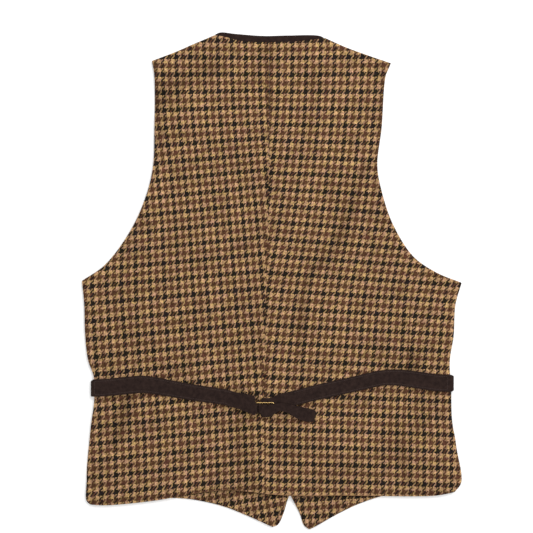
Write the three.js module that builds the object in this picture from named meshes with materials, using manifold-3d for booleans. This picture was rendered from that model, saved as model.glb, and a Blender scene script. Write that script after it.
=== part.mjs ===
// A suit waistcoat laid flat on its front, so its back faces up.
// Millimetres. +Y runs to the neck, +X to the wearer's right, +Z up from the surface it lies on.
// The origin is under the middle of the outline, on that surface.
import * as THREE from "three";
import { mergeVertices } from "three/addons/utils/BufferGeometryUtils.js";
import Module from "manifold-3d";

const wasm = await Module();
wasm.setup();

// Cloth and gaps
const TWEED = 1.6;
const FACING = 1.0;
const SUEDE = 1.6;
const SEAM_GAP = 0.3;
const LAYER_GAP = 0.6;
const STRAP_GAP = 0.5;

// Height of the back's outer face. It swells over the closed front edges and rolls down at its own
// edges: `fade` is how far a change takes.
const BACK_CROWN = 5.7;
const SWELL = { height: 3.4, flat: 18, fade: 58, top: 138, topFade: 70, foot: -322, footFade: 60 };
const EDGE = {
  side: { height: 3.6, roll: 10 },
  armhole: { height: 3.5, roll: 14 },
  shoulder: { height: 4.2, roll: 6 },
  neckline: { height: 4.5, roll: 7 },
};
const DIP = { depth: 0.5, hemRoll: 8, seamRoll: 5 };

// The front closure, the wearer's left side over the right
const CENTRE_FRONT = 23.8;
const OVERLAP = 31;
const PLACKET = { top: 92, topFade: 30, foot: -282, footFade: 42, margin: 3, fade: 24 };
const RIGHT_RISE = { margin: 3, fade: 20, foot: -306, footFade: 24 };
const BUTTON = { radius: 7.5, thick: 2.6, rim: 0.7, shank: 1.2, hole: 0.85, holeSpread: 1.7 };
const DISH = { depth: 0.5, rim: 1.6 };
const BUTTONS = { count: 5, first: 50, last: -228 };
const BUTTONHOLE = { length: 17, width: 3.2, play: 1 };

// Edges of the back, each from the hem up or from the side in
const sideLeft = [
  { x: -236, y: -291 }, { x: -241, y: -286 }, { x: -241, y: -262 }, { x: -235.6, y: -191 },
  { x: -231, y: -155 }, { x: -231.6, y: -125 }, { x: -239, y: -103 }, { x: -243, y: -68 },
  { x: -244, y: -31 }, { x: -247, y: 0 },
];
const armholeLeft = [
  { x: -247, y: 0 }, { x: -217, y: 21 }, { x: -186, y: 62 }, { x: -166, y: 104 },
  { x: -155, y: 146 }, { x: -152.8, y: 200 }, { x: -153, y: 268 }, { x: -156, y: 286 },
];
const shoulderLeft = [
  { x: -156, y: 286 }, { x: -122, y: 299 }, { x: -104, y: 307 }, { x: -74.4, y: 319.5 },
];
const necklineLeft = [
  { x: -74.4, y: 319.5 }, { x: -64, y: 318 }, { x: -36, y: 311.5 }, { x: -3, y: 310.3 },
];
const hemLeft = [
  { x: -236, y: -291 }, { x: -215, y: -291.8 }, { x: -152, y: -285.7 }, { x: -106, y: -277.5 },
  { x: -60, y: -272 }, { x: -28, y: -274 }, { x: -9.6, y: -276.4 },
];
const sideRight = [
  { x: 238, y: -274.6 }, { x: 246.6, y: -262 }, { x: 240.5, y: -218 }, { x: 234.5, y: -180 },
  { x: 233.4, y: -146 }, { x: 231.6, y: -104 }, { x: 236.6, y: -72 }, { x: 239, y: -31 },
  { x: 247, y: -2.5 },
];
const armholeRight = [
  { x: 247, y: -2.5 }, { x: 214, y: 11 }, { x: 184, y: 32 }, { x: 158, y: 73 },
  { x: 143.5, y: 115 }, { x: 137.4, y: 150 }, { x: 142.9, y: 198 }, { x: 148.6, y: 268 },
  { x: 155, y: 283 },
];
const shoulderRight = [
  { x: 155, y: 283 }, { x: 128.5, y: 292 }, { x: 97, y: 303.5 }, { x: 70.2, y: 315.4 },
];
const necklineRight = [
  { x: 70.2, y: 315.4 }, { x: 60, y: 314.6 }, { x: 33, y: 311.4 }, { x: -3, y: 310.3 },
];
const hemRight = [
  { x: 238, y: -274.6 }, { x: 214, y: -278.9 }, { x: 190, y: -280 }, { x: 80, y: -278.8 },
  { x: 26, y: -279 }, { x: -9.6, y: -276.4 },
];
const centreBack = [
  { x: -9.6, y: -276.4 }, { x: -9.8, y: -142 }, { x: -7.4, y: -25 }, { x: -4.2, y: 105 },
  { x: -3, y: 310.3 },
];

// Edges of the fronts where they leave the back's outline
const frontArmholeLeft = [
  { x: -247, y: 0 }, { x: -218, y: 8 }, { x: -176, y: 50 }, { x: -148, y: 110 },
  { x: -138, y: 170 }, { x: -139, y: 240 }, { x: -156, y: 286 },
];
const frontArmholeRight = [
  { x: 247, y: -2.5 }, { x: 218, y: -1 }, { x: 174, y: 24 }, { x: 144, y: 75 },
  { x: 126, y: 140 }, { x: 128, y: 215 }, { x: 155, y: 283 },
];
const frontHemLeft = [
  { x: -236, y: -290 }, { x: -180, y: -285 }, { x: -121, y: -283 }, { x: -90, y: -287 },
  { x: -59, y: -295 }, { x: -28, y: -307.5 }, { x: -4, y: -318 }, { x: 2, y: -320 },
];
const frontEdgeLeft = [
  { x: 2, y: -320 }, { x: 8, y: -317.5 }, { x: 14.7, y: -304.5 }, { x: 21.2, y: -283.5 },
  { x: 33, y: -255 }, { x: CENTRE_FRONT + OVERLAP / 2, y: -225 },
  { x: CENTRE_FRONT + OVERLAP / 2, y: 62 },
];
const frontNeckLeft = [
  { x: CENTRE_FRONT + OVERLAP / 2, y: 62 }, { x: 26, y: 100 }, { x: -30, y: 195 },
  { x: -66, y: 282 }, { x: -76, y: 318.6 },
];
const frontHemRight = [
  { x: 238, y: -273.6 }, { x: 190, y: -278 }, { x: 150, y: -279 }, { x: 113, y: -290.5 },
  { x: 82, y: -305.5 }, { x: 58, y: -319 }, { x: 48, y: -323.1 },
];
const frontEdgeRight = [
  { x: 48, y: -323.1 }, { x: 42, y: -318.5 }, { x: 36.8, y: -304 }, { x: 25.7, y: -281.5 },
  { x: 14, y: -255 }, { x: CENTRE_FRONT - OVERLAP / 2, y: -225 },
  { x: CENTRE_FRONT - OVERLAP / 2, y: 62 },
];
const frontNeckRight = [
  { x: CENTRE_FRONT - OVERLAP / 2, y: 62 }, { x: 19, y: 100 }, { x: 50, y: 195 },
  { x: 65, y: 275 }, { x: 72.4, y: 314.2 },
];

// Upper edges of the facings, under the back's hem
const facingTopLeft = [
  { x: -124, y: -279 }, { x: -90, y: -268 }, { x: -40, y: -266 }, { x: 4, y: -273 },
  { x: 16.5, y: -285 },
];
const facingTopRight = [
  { x: 152, y: -275 }, { x: 120, y: -268 }, { x: 74, y: -268 }, { x: 44, y: -274 },
  { x: 30.5, y: -285 },
];

// Soft folds of the back: place, slant from upright, length, breadth and height at the middle
const folds = [
  { x: -184, y: -180, slant: 8, length: 70, breadth: 12, height: -1.3 },
  { x: 172, y: -158, slant: -10, length: 50, breadth: 10, height: -1.2 },
  { x: -190, y: -92, slant: 20, length: 60, breadth: 14, height: -0.9 },
  { x: 178, y: -88, slant: -18, length: 60, breadth: 14, height: -0.9 },
  { x: -48, y: -268, slant: 0, length: 50, breadth: 22, height: 1.8 },
  { x: 222, y: -258, slant: 30, length: 44, breadth: 16, height: 1.8 },
  { x: -110, y: 150, slant: 6, length: 140, breadth: 20, height: 0.8 },
  { x: 100, y: 140, slant: -6, length: 140, breadth: 20, height: 0.8 },
];

// Stations along the straps' centre lines
const STRAP = { round: 0.45, spacing: 9, tailSpacing: 4.5 };
const leftStrapRun = [
  { x: -212, y: -138.1, width: 22.4 }, { x: -188, y: -135.8, width: 22.6 }, { x: -168, y: -134.3, width: 22.4 },
  { x: -151, y: -136.2, width: 22 }, { x: -114, y: -142.8, width: 21 }, { x: -83, y: -147.7, width: 20.6 },
  { x: -60, y: -151, width: 20.4 },
];
const rightStrapRun = [
  { x: 212, y: -132, width: 22.2 }, { x: 186, y: -128.2, width: 22 }, { x: 165, y: -125.5, width: 21 },
  { x: 146, y: -125.6, width: 20 }, { x: 122, y: -130.5, width: 20 }, { x: 93, y: -137.1, width: 19.6 },
  { x: 62, y: -143.7, width: 19.6 }, { x: 36, y: -150.2, width: 19 }, { x: 14, y: -156, width: 19.6 },
];
const tailRun = [
  { x: 28, y: -167.6, width: 13 }, { x: 37, y: -171.2, width: 16.3 }, { x: 47, y: -173.8, width: 17 },
  { x: 53, y: -174.8, width: 16 }, { x: 56, y: -175.2, width: 13 },
];

// The straps' outer ends turn down over the side seams: `tilt` is the share of the quarter turn that
// is left out at its top, and `cut` is how much narrower the end is for its sloped corners
const STRAP_END = { overhang: 4.1, radius: 4.2, tilt: 0.08, drop: 1.4, lowest: 0.5, steps: 6, slope: 2.7 };
const leftEnd = { x: -231.3, y: -139, sign: 1, cut: 2.6, shift: -1.3 };
const rightEnd = { x: 232.8, y: -133, sign: -1, cut: 3.4, shift: 0 };

// The cinch buckle: outer size of its frame, and the run of its prongs
const BUCKLE = { x: -9, y: -164.8, width: 24.6, height: 15.6, wire: 1.2, bar: -6.3, corner: 1.8, ease: 1 };
const PRONG = { x: -8.6, wire: 0.9, spread: 3.5, length: 3.4, reach: 1.6 };

// The straps' stations at the buckle, each with its lift above the run that it belongs to
const leftClimb = [
  { x: -50, y: -153.9, width: 20, run: "back", lift: 1.0 },
  { x: -41, y: -155.5, width: 20.5, run: "low", lift: -0.3 },
  { x: -34, y: -157.5, width: 22.2, run: "low", lift: 0.6 },
  { x: -27, y: -159.6, width: 23, run: "high", lift: -0.4 },
  { x: -22, y: -161.6, width: 23.6, run: "high", lift: 0 },
];
const leftUnder = [{ x: -24.9, y: -164.8, run: "low", lift: 0 }, { x: -31, y: -161, run: "low", lift: 0 }];
const rightEntry = [
  { x: 6, y: -158.6, width: 20.5 }, { x: -1, y: -161.8, width: 21.4 }, { x: -7, y: -163.6, width: 22.8 },
  { x: -13.4, y: -164, width: 23 },
];
const rightOver = [
  { x: -11, y: -167.7, width: 15.6, lift: 0 }, { x: -1, y: -167.6, width: 15.2, lift: 0 },
  { x: 5, y: -165, width: 11.6, lift: 0 }, { x: 10, y: -163.4, width: 10, lift: -0.6 },
  { x: 16, y: -164, width: 10.5, lift: -1.3 }, { x: 22, y: -165.6, width: 12, lift: -1.5 },
];
const TAIL_FALL = { stations: 4, drop: 1.6 };

// The neck band: how far it stands above the neckline and is tucked under it
const neckBandTop = [
  { x: -72.6, y: 319 }, { x: -66, y: 323.1 }, { x: -48, y: 321.6 }, { x: -11, y: 318.8 },
  { x: 20, y: 319.4 }, { x: 62, y: 319 }, { x: 69.4, y: 315.4 },
];
const neckBandFoot = [
  { x: -71.6, y: 314.5 }, { x: -64, y: 312.6 }, { x: -36, y: 306 }, { x: -3, y: 304.8 },
  { x: 33, y: 306 }, { x: 60, y: 309.6 }, { x: 67.8, y: 311.4 },
];
const NECK_BAND = 2.0;
const FLOOR_GAP = 0.1;

// Materials
const cloth = (color, roughness) => new THREE.MeshStandardMaterial({ color, roughness, metalness: 0 });
const tweed = cloth(0x8c6c48, 0.95);
const suede = cloth(0x2c2122, 0.9);
const brass = new THREE.MeshStandardMaterial({ color: 0xb8935a, roughness: 0.35, metalness: 1 });
const horn = cloth(0x2b211c, 0.4);

// Curves and small measures
const clamp01 = (value) => Math.min(1, Math.max(0, value));
const ease = (value) => clamp01(value) ** 2 * (3 - 2 * clamp01(value));
const curveOf = (places) =>
  new THREE.CatmullRomCurve3(places.map(({ x, y }) => new THREE.Vector3(x, y, 0)), false, "centripetal");

// One edge of a panel, made of one or two curves that meet where the edge turns a corner at `turn`
function edgeOf(first, second, turn) {
  const curves = second ? [curveOf(first), curveOf(second)] : [curveOf(first)];
  return (u) => {
    if (!second) return curves[0].getPointAt(clamp01(u));
    return u <= turn ? curves[0].getPointAt(u / turn) : curves[1].getPointAt((u - turn) / (1 - turn));
  };
}

const samplesOf = (places, count = 60) => curveOf(places).getSpacedPoints(count);

function distanceTo(samples, x, y) {
  let nearest = Infinity;
  for (let i = 1; i < samples.length; i += 1) {
    const a = samples[i - 1];
    const b = samples[i];
    const along = (x - a.x) * (b.x - a.x) + (y - a.y) * (b.y - a.y);
    const part = clamp01(along / ((b.x - a.x) ** 2 + (b.y - a.y) ** 2));
    nearest = Math.min(nearest, Math.hypot(x - a.x - part * (b.x - a.x), y - a.y - part * (b.y - a.y)));
  }
  return nearest;
}

// Heights of the fronts. The left front rises over the buttons, and the right front rises over both.
function buttonRise(x, y) {
  const { top, topFade, foot, footFade, margin, fade } = PLACKET;
  const span = ease((top - y) / topFade) * ease((y - foot) / footFade);
  const beyond = Math.abs(x - CENTRE_FRONT) - BUTTON.radius - margin;
  return (BUTTON.thick + SEAM_GAP) * ease(1 - beyond / fade) * span;
}

const leftFrontEdge = samplesOf([...frontEdgeLeft, ...frontNeckLeft.slice(1)], 120);

function leftFrontReach(y) {
  let reach = -Infinity;
  for (let i = 1; i < leftFrontEdge.length; i += 1) {
    const a = leftFrontEdge[i - 1];
    const b = leftFrontEdge[i];
    if ((a.y - y) * (b.y - y) <= 0 && a.y !== b.y) {
      reach = Math.max(reach, a.x + ((y - a.y) / (b.y - a.y)) * (b.x - a.x));
    }
  }
  return reach;
}

const leftFrontFace = buttonRise;

function rightFrontFace(x, y) {
  const { margin, fade, foot, footFade } = RIGHT_RISE;
  const beyond = x - leftFrontReach(y) - margin;
  return (buttonRise(x, y) + TWEED + LAYER_GAP) * ease(1 - beyond / fade) * ease((y - foot) / footFade);
}

// Height of the back's outer face
const backEdges = [
  { line: samplesOf(sideLeft), ...EDGE.side },
  { line: samplesOf(sideRight), ...EDGE.side },
  { line: samplesOf(armholeLeft), ...EDGE.armhole },
  { line: samplesOf(armholeRight), ...EDGE.armhole },
  { line: samplesOf(shoulderLeft), ...EDGE.shoulder },
  { line: samplesOf(shoulderRight), ...EDGE.shoulder },
  { line: samplesOf(necklineLeft), ...EDGE.neckline },
  { line: samplesOf(necklineRight), ...EDGE.neckline },
];
const hemEdge = [samplesOf(hemLeft), samplesOf(hemRight)];
const seamEdge = samplesOf(centreBack);
const roll = (u) => Math.sqrt(1 - (1 - clamp01(u)) ** 2);

function foldHeight({ x: atX, y: atY, slant, length, breadth, height }, x, y) {
  const turn = THREE.MathUtils.degToRad(slant);
  const along = (x - atX) * Math.sin(turn) + (y - atY) * Math.cos(turn);
  const across = (x - atX) * Math.cos(turn) - (y - atY) * Math.sin(turn);
  return height * Math.exp(-((across / breadth) ** 2)) * ease(1.3 - Math.abs(along) / (length / 2));
}

function backFace(x, y, withTroughs = true) {
  const { height: swell, flat, fade, top, topFade, foot, footFade } = SWELL;
  const span = ease((top - y) / topFade) * ease((y - foot) / footFade);
  let crown = BACK_CROWN + swell * ease(1 - (Math.abs(x - CENTRE_FRONT) - flat) / fade) * span;
  for (const fold of folds) {
    if (withTroughs || fold.height > 0) crown += foldHeight(fold, x, y);
  }
  let height = crown;
  for (const { line, height: low, roll: breadth } of backEdges) {
    height = Math.min(height, low + (crown - low) * roll(distanceTo(line, x, y) / breadth));
  }
  const hemNear = Math.min(...hemEdge.map((line) => distanceTo(line, x, y)));
  const seamNear = distanceTo(seamEdge, x, y);
  return height - DIP.depth * (2 - roll(hemNear / DIP.hemRoll) - roll(seamNear / DIP.seamRoll));
}

// Solids
function solidOf(positions, triangles) {
  const geometry = new THREE.BufferGeometry();
  geometry.setAttribute("position", new THREE.Float32BufferAttribute(positions, 3));
  geometry.setIndex(triangles);
  geometry.computeVertexNormals();
  return geometry;
}

// A closed wall between two faces on one grid. `upper` and `lower` hold rows of points.
function wallBetween(upper, lower) {
  const rows = upper.length;
  const columns = upper[0].length;
  const positions = [...upper.flat(), ...lower.flat()].flatMap(({ x, y, z }) => [x, y, z]);
  const top = (i, j) => i * columns + j;
  const foot = (i, j) => rows * columns + i * columns + j;
  const triangles = [];
  const quad = (a, b, c, d) => triangles.push(a, b, c, a, c, d);
  for (let i = 0; i + 1 < rows; i += 1) {
    for (let j = 0; j + 1 < columns; j += 1) {
      quad(top(i, j), top(i, j + 1), top(i + 1, j + 1), top(i + 1, j));
      quad(foot(i, j), foot(i + 1, j), foot(i + 1, j + 1), foot(i, j + 1));
    }
    quad(top(i, 0), top(i + 1, 0), foot(i + 1, 0), foot(i, 0));
    quad(top(i + 1, columns - 1), top(i, columns - 1), foot(i, columns - 1), foot(i + 1, columns - 1));
  }
  for (let j = 0; j + 1 < columns; j += 1) {
    quad(top(0, j + 1), top(0, j), foot(0, j), foot(0, j + 1));
    quad(top(rows - 1, j), top(rows - 1, j + 1), foot(rows - 1, j + 1), foot(rows - 1, j));
  }
  const geometry = solidOf(positions, triangles);
  return volumeOf(geometry) < 0 ? solidOf(positions, flipped(triangles)) : geometry;
}

function flipped(triangles) {
  const turned = [];
  for (let i = 0; i < triangles.length; i += 3) {
    turned.push(triangles[i], triangles[i + 2], triangles[i + 1]);
  }
  return turned;
}

function volumeOf(geometry) {
  const index = geometry.getIndex().array;
  const at = geometry.getAttribute("position");
  const corner = (k) => new THREE.Vector3().fromBufferAttribute(at, index[k]);
  let sum = 0;
  for (let i = 0; i < index.length; i += 3) {
    sum += corner(i).dot(corner(i + 1).cross(corner(i + 2))) / 6;
  }
  return sum;
}

// Unit normals of a grid's face, turned up
function normalsOf(grid) {
  const rows = grid.length;
  const columns = grid[0].length;
  return grid.map((row, i) => row.map((_, j) => {
    const along = grid[Math.min(i + 1, rows - 1)][j].clone().sub(grid[Math.max(i - 1, 0)][j]);
    const across = grid[i][Math.min(j + 1, columns - 1)].clone().sub(grid[i][Math.max(j - 1, 0)]);
    const normal = across.cross(along).normalize();
    return normal.z < 0 ? normal.negate() : normal;
  }));
}

const offsetGrid = (grid, by) => {
  const normals = normalsOf(grid);
  return grid.map((row, i) => row.map((point, j) => point.clone().addScaledVector(normals[i][j], by)));
};

// A panel's plan, blended from its four edges. u runs along foot and top, v up the two sides.
function panelPlan({ foot, top, outer, inner }, columns, rows) {
  const corner = { footOuter: foot(0), footInner: foot(1), topOuter: top(0), topInner: top(1) };
  return rows.map((v) => columns.map((u) => {
    const place = new THREE.Vector3()
      .addScaledVector(foot(u), 1 - v)
      .addScaledVector(top(u), v)
      .addScaledVector(outer(v), 1 - u)
      .addScaledVector(inner(v), u);
    return place
      .addScaledVector(corner.footOuter, -(1 - u) * (1 - v))
      .addScaledVector(corner.footInner, -u * (1 - v))
      .addScaledVector(corner.topOuter, -(1 - u) * v)
      .addScaledVector(corner.topInner, -u * v);
  }));
}

const raised = (plan, height) =>
  plan.map((row) => row.map(({ x, y }) => new THREE.Vector3(x, y, height(x, y))));

// Steps from 0 to 1 with extra ones close to each end, and one at each `stop`. Two steps closer than
// this share of the spacing become one.
const CLOSEST = 0.4;

function steps(near, count, far, stops = []) {
  const middle = Array.from({ length: count + 1 }, (_, i) => i / count);
  const places = [...near, ...middle, ...far.map((value) => 1 - value), ...stops];
  return [...new Set(places.map((value) => Number(value.toFixed(5))))]
    .sort((a, b) => a - b)
    .filter((value, i, list) => {
      if (i === 0 || value === 1 || stops.includes(value)) return true;
      const kept = near.includes(value) || far.some((end) => Math.abs(1 - end - value) < 1e-6);
      const close = (other) => other !== undefined && Math.abs(other - value) < CLOSEST / count;
      return kept || !(close(list[i - 1]) || close(list[i + 1]));
    });
}

// The back: two panels, each from its side seam to the seam down the middle. Where an edge made of two
// curves turns its corner is a share of the panel.
const NECK_POINT = 0.52;
const UNDERARM = 0.5;
const BACK_STEPS = {
  columns: { near: [0.006, 0.02, 0.042, 0.08], count: 12, far: [0.008, 0.022] },
  rows: { near: [0.006, 0.018], count: 26, far: [0.006, 0.015, 0.028] },
};

function backPanel(side, armhole, shoulder, neckline, hem) {
  const seam = curveOf(centreBack);
  const inset = side[0].x < 0 ? -SEAM_GAP / 2 : SEAM_GAP / 2;
  const moved = (places) => [...places.slice(0, -1), { x: places.at(-1).x + inset, y: places.at(-1).y }];
  const edges = {
    foot: edgeOf(moved(hem)),
    top: edgeOf(shoulder, moved(neckline), NECK_POINT),
    outer: edgeOf(side, armhole, UNDERARM),
    inner: (v) => seam.getPointAt(clamp01(v)).add(new THREE.Vector3(inset, 0, 0)),
  };
  const { columns, rows } = BACK_STEPS;
  const across = steps(columns.near, columns.count, columns.far, [NECK_POINT]);
  const up = steps(rows.near, rows.count, rows.far, [UNDERARM]);
  const outerFace = raised(panelPlan(edges, across, up), backFace);
  return wallBetween(outerFace, offsetGrid(outerFace, -TWEED));
}

// The fronts lie face down, so their outer face is the lower one
const FRONT_BREAK = 0.7;
const FRONT_STEPS = {
  columns: { count: 9, far: [0.03, 0.06, 0.09, 0.12, 0.15, 0.18, 0.21, 0.25, 0.29] },
  rows: {
    near: [0.014, 0.028, 0.045, 0.062, 0.079, 0.096, 0.113, 0.136, 0.17, 0.203, 0.237],
    count: 16,
    far: [0.02],
    stops: [0.265, 0.3, UNDERARM, 0.67, FRONT_BREAK, 0.724, 0.75],
  },
};

function frontPanel(side, armhole, shoulder, hem, edge, neck, face) {
  const edges = {
    foot: edgeOf(hem),
    top: edgeOf([...shoulder.slice(0, -1), neck.at(-1)]),
    outer: edgeOf([hem[0], ...side.slice(2)], armhole, UNDERARM),
    inner: edgeOf(edge, neck, FRONT_BREAK),
  };
  const { columns, rows } = FRONT_STEPS;
  const across = steps([], columns.count, columns.far);
  const up = steps(rows.near, rows.count, rows.far, rows.stops);
  const lower = raised(panelPlan(edges, across, up), face);
  return wallBetween(offsetGrid(lower, TWEED), lower);
}

// A facing inside a front's point. `pull` is how close to the front edge it takes up that edge's shape.
const FACING_PLAN = { inset: 1.2, columns: 20, rows: 5, pull: 6, rise: 0.5 };

function facingPanel(hem, edge, top, face) {
  const { inset, columns, rows, pull, rise } = FACING_PLAN;
  const foot = edgeOf(hem.slice(2).map(({ x, y }) => ({ x, y: y + inset })));
  const upper = edgeOf(top);
  const tip = edgeOf(edge.slice(0, 4));
  const inwards = edge[0].x > edge[3].x ? inset : -inset;
  const plan = Array.from({ length: rows + 1 }, (_, j) => Array.from({ length: columns + 1 }, (__, i) => {
    const u = i / columns;
    const v = j / rows;
    const place = foot(u).lerp(upper(u), v);
    const edgeShift = tip(v).sub(foot(1).lerp(upper(1), v));
    edgeShift.x += inwards * (1 - v * rise);
    return place.addScaledVector(edgeShift, u ** pull);
  }));
  const lower = raised(plan, (x, y) => face(x, y) + TWEED + SEAM_GAP * 2);
  return wallBetween(offsetGrid(lower, FACING), lower);
}

// A closed solid through rings of points, with flat ends or joined into a loop
function loft(rings, loop = false) {
  const around = rings[0].length;
  const positions = rings.flat().flatMap(({ x, y, z }) => [x, y, z]);
  const triangles = [];
  const spans = loop ? rings.length : rings.length - 1;
  for (let i = 0; i < spans; i += 1) {
    const next = (i + 1) % rings.length;
    for (let j = 0; j < around; j += 1) {
      const a = i * around + j;
      const b = i * around + ((j + 1) % around);
      const c = next * around + ((j + 1) % around);
      const d = next * around + j;
      triangles.push(a, b, c, a, c, d);
    }
  }
  if (!loop) {
    const end = (rings.length - 1) * around;
    for (let j = 1; j + 1 < around; j += 1) {
      triangles.push(0, j + 1, j);
      triangles.push(end, end + j, end + j + 1);
    }
  }
  const geometry = solidOf(positions, triangles);
  return volumeOf(geometry) < 0 ? solidOf(positions, flipped(triangles)) : geometry;
}

// A flat strap whose underside follows a path of places, widths and heights
function strap(path) {
  const { round } = STRAP;
  const rings = path.map(({ at, width, heading }, i) => {
    const ahead = path[Math.min(i + 1, path.length - 1)].at.clone();
    const run = ahead.sub(path[Math.max(i - 1, 0)].at).normalize();
    const across = new THREE.Vector3(-heading.y, heading.x, 0).normalize();
    const up = run.clone().cross(across).normalize();
    const section = [
      [-width / 2 + round, 0], [0, 0], [width / 2 - round, 0], [width / 2, round],
      [width / 2, SUEDE - round], [width / 2 - round, SUEDE], [0, SUEDE],
      [-width / 2 + round, SUEDE], [-width / 2, SUEDE - round], [-width / 2, round],
    ];
    return section.map(([a, b]) => at.clone().addScaledVector(across, a).addScaledVector(up, b));
  });
  return loft(rings);
}

// Shares of a strap's width where its height is read off the back
const ACROSS = [-0.5, -0.25, 0, 0.25, 0.5];

// Places along a strap's run with the height it needs to lie on the back
function onBack(run, spacing) {
  const line = curveOf(run);
  const count = Math.round(line.getLength() / spacing);
  const widths = new THREE.CatmullRomCurve3(run.map(({ width }, i) => new THREE.Vector3(i, width, 0)));
  return Array.from({ length: count + 1 }, (_, i) => {
    const u = i / count;
    const at = line.getPointAt(u);
    const heading = line.getTangentAt(u);
    const width = widths.getPoint(line.getUtoTmapping(u)).y;
    const across = new THREE.Vector3(-heading.y, heading.x, 0);
    const heights = ACROSS.map((part) => {
      const place = at.clone().addScaledVector(across, part * width);
      return backFace(place.x, place.y, false);
    });
    at.z = Math.max(...heights) + STRAP_GAP;
    return { at, width, heading };
  });
}

// The strap's outer end, from its cut edge up over the side seam to the first place of its run
function overSide({ at: { z: top }, width: full }, { x: sideX, y, sign, cut, shift }) {
  const { overhang, radius, tilt, drop, lowest, steps: count, slope } = STRAP_END;
  const quarter = Math.PI / 2;
  const heading = new THREE.Vector3(sign, 0, 0);
  const outer = sideX - sign * (overhang - SUEDE);
  const stationAt = (reach, z) => {
    const share = clamp01(1 - reach / slope);
    const at = new THREE.Vector3(outer + sign * reach, y + shift * share, z);
    return { at, width: full - cut * share, heading };
  };
  const turn = Array.from({ length: count + 1 }, (_, i) => {
    const angle = (i / count) * quarter * (1 - tilt);
    const reach = radius * (1 - Math.sin(angle + quarter * tilt));
    return stationAt(reach, top - radius + radius * Math.cos(angle));
  });
  turn.push(stationAt(0, Math.max(lowest, turn.at(-1).at.z - drop)));
  return turn.reverse();
}

// Height on which the buckle lies, and the straps' runs in and round its bars
const buckleFloor = backFace(BUCKLE.x + BUCKLE.width / 2, BUCKLE.y, false) + STRAP_GAP;
const lowRun = buckleFloor + SUEDE;
const barLow = lowRun + SEAM_GAP;
const highRun = barLow + BUCKLE.wire + SEAM_GAP;
const overTop = highRun + SUEDE;
const slotWidth = BUCKLE.height - 2 * BUCKLE.wire - BUCKLE.ease;
const TURN_STEPS = 8;

// A strap's half turn round an upright bar. `from` and `to` are the heights where it starts and ends,
// and `sign` says to which side it bulges.
function roundBar(x, from, to, heading, sign) {
  const middle = (from + to) / 2;
  const reach = Math.abs(to - from) / 2;
  return Array.from({ length: TURN_STEPS + 1 }, (_, i) => {
    const angle = (i / TURN_STEPS) * Math.PI;
    const z = middle + ((from - to) / 2) * Math.cos(angle);
    const at = new THREE.Vector3(x + sign * reach * Math.sin(angle), BUCKLE.y, z);
    return { at, width: slotWidth, heading };
  });
}

const stations = (list, heading, height) => list.map((place) => ({
  at: new THREE.Vector3(place.x, place.y, height(place)),
  width: place.width ?? slotWidth,
  heading,
}));

// The left strap climbs over the buckle's left bar, turns round it and ends under itself
function strapLeft() {
  const run = onBack(leftStrapRun, STRAP.spacing);
  const heights = { back: run.at(-1).at.z, low: lowRun, high: highRun };
  const slanted = new THREE.Vector3(1, -0.2, 0).normalize();
  const straight = new THREE.Vector3(1, 0, 0);
  const height = (place) => heights[place.run] + place.lift;
  const climb = stations(leftClimb.slice(0, -1), slanted, height);
  const last = stations(leftClimb.slice(-1), straight, height);
  const turn = roundBar(BUCKLE.x - (BUCKLE.width - BUCKLE.wire) / 2, highRun, lowRun, straight, 1);
  const under = stations(leftUnder, straight, height);
  return strap([...overSide(run[0], leftEnd), ...run, ...climb, ...last, ...turn, ...under]);
}

// The right strap goes under the buckle, up round its middle bar and back over it as the loose tail
function strapRight() {
  const heading = new THREE.Vector3(-1, 0, 0);
  const run = onBack(rightStrapRun, STRAP.spacing);
  const entry = stations(rightEntry, heading, () => buckleFloor);
  const turn = roundBar(BUCKLE.x + BUCKLE.bar, buckleFloor, overTop, heading, -1);
  const over = stations(rightOver, heading, ({ lift }) => overTop + lift);
  const tail = onBack(tailRun, STRAP.tailSpacing).map(({ at, width, heading: along }, i) => {
    const fall = ease(1 - i / TAIL_FALL.stations);
    const lies = at.z + SUEDE;
    at.z = Math.max(lies, lies * (1 - fall) + (overTop - TAIL_FALL.drop) * fall);
    return { at, width, heading: along.negate() };
  });
  return strap([...overSide(run[0], rightEnd), ...run, ...entry, ...turn, ...over, ...tail]);
}

function tube(path, radius, sides, loop = false) {
  const rings = path.map((at, i) => {
    const ahead = loop ? path[(i + 1) % path.length] : path[Math.min(i + 1, path.length - 1)];
    const behind = loop ? path[(i + path.length - 1) % path.length] : path[Math.max(i - 1, 0)];
    const run = ahead.clone().sub(behind).normalize();
    const across = new THREE.Vector3(-run.y, run.x, 0).normalize();
    const up = run.clone().cross(across).normalize();
    return Array.from({ length: sides }, (_, k) => {
      const angle = (k / sides) * Math.PI * 2;
      return at.clone()
        .addScaledVector(across, radius * Math.cos(angle))
        .addScaledVector(up, radius * Math.sin(angle));
    });
  });
  return loft(rings, loop);
}

function manifoldOf(geometry) {
  const bare = geometry.clone();
  bare.deleteAttribute("normal");
  bare.deleteAttribute("uv");
  const merged = mergeVertices(bare, 1e-4);
  return new wasm.Manifold(new wasm.Mesh({
    numProp: 3,
    vertProperties: new Float32Array(merged.getAttribute("position").array),
    triVerts: new Uint32Array(merged.getIndex().array),
  }));
}

function geometryOf(manifold) {
  const mesh = manifold.getMesh();
  return solidOf(Array.from(mesh.vertProperties), Array.from(mesh.triVerts));
}

// Sides of the buckle's round wires, the arcs of its frame's corners, and how far the bar and the prongs
// are let into the frame's wire
const WIRE_SIDES = { frame: 8, prong: 6 };
const CORNER_STEPS = 4;
const LET_IN = { bar: 0.05, across: 0.2, up: 0.1 };

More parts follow.
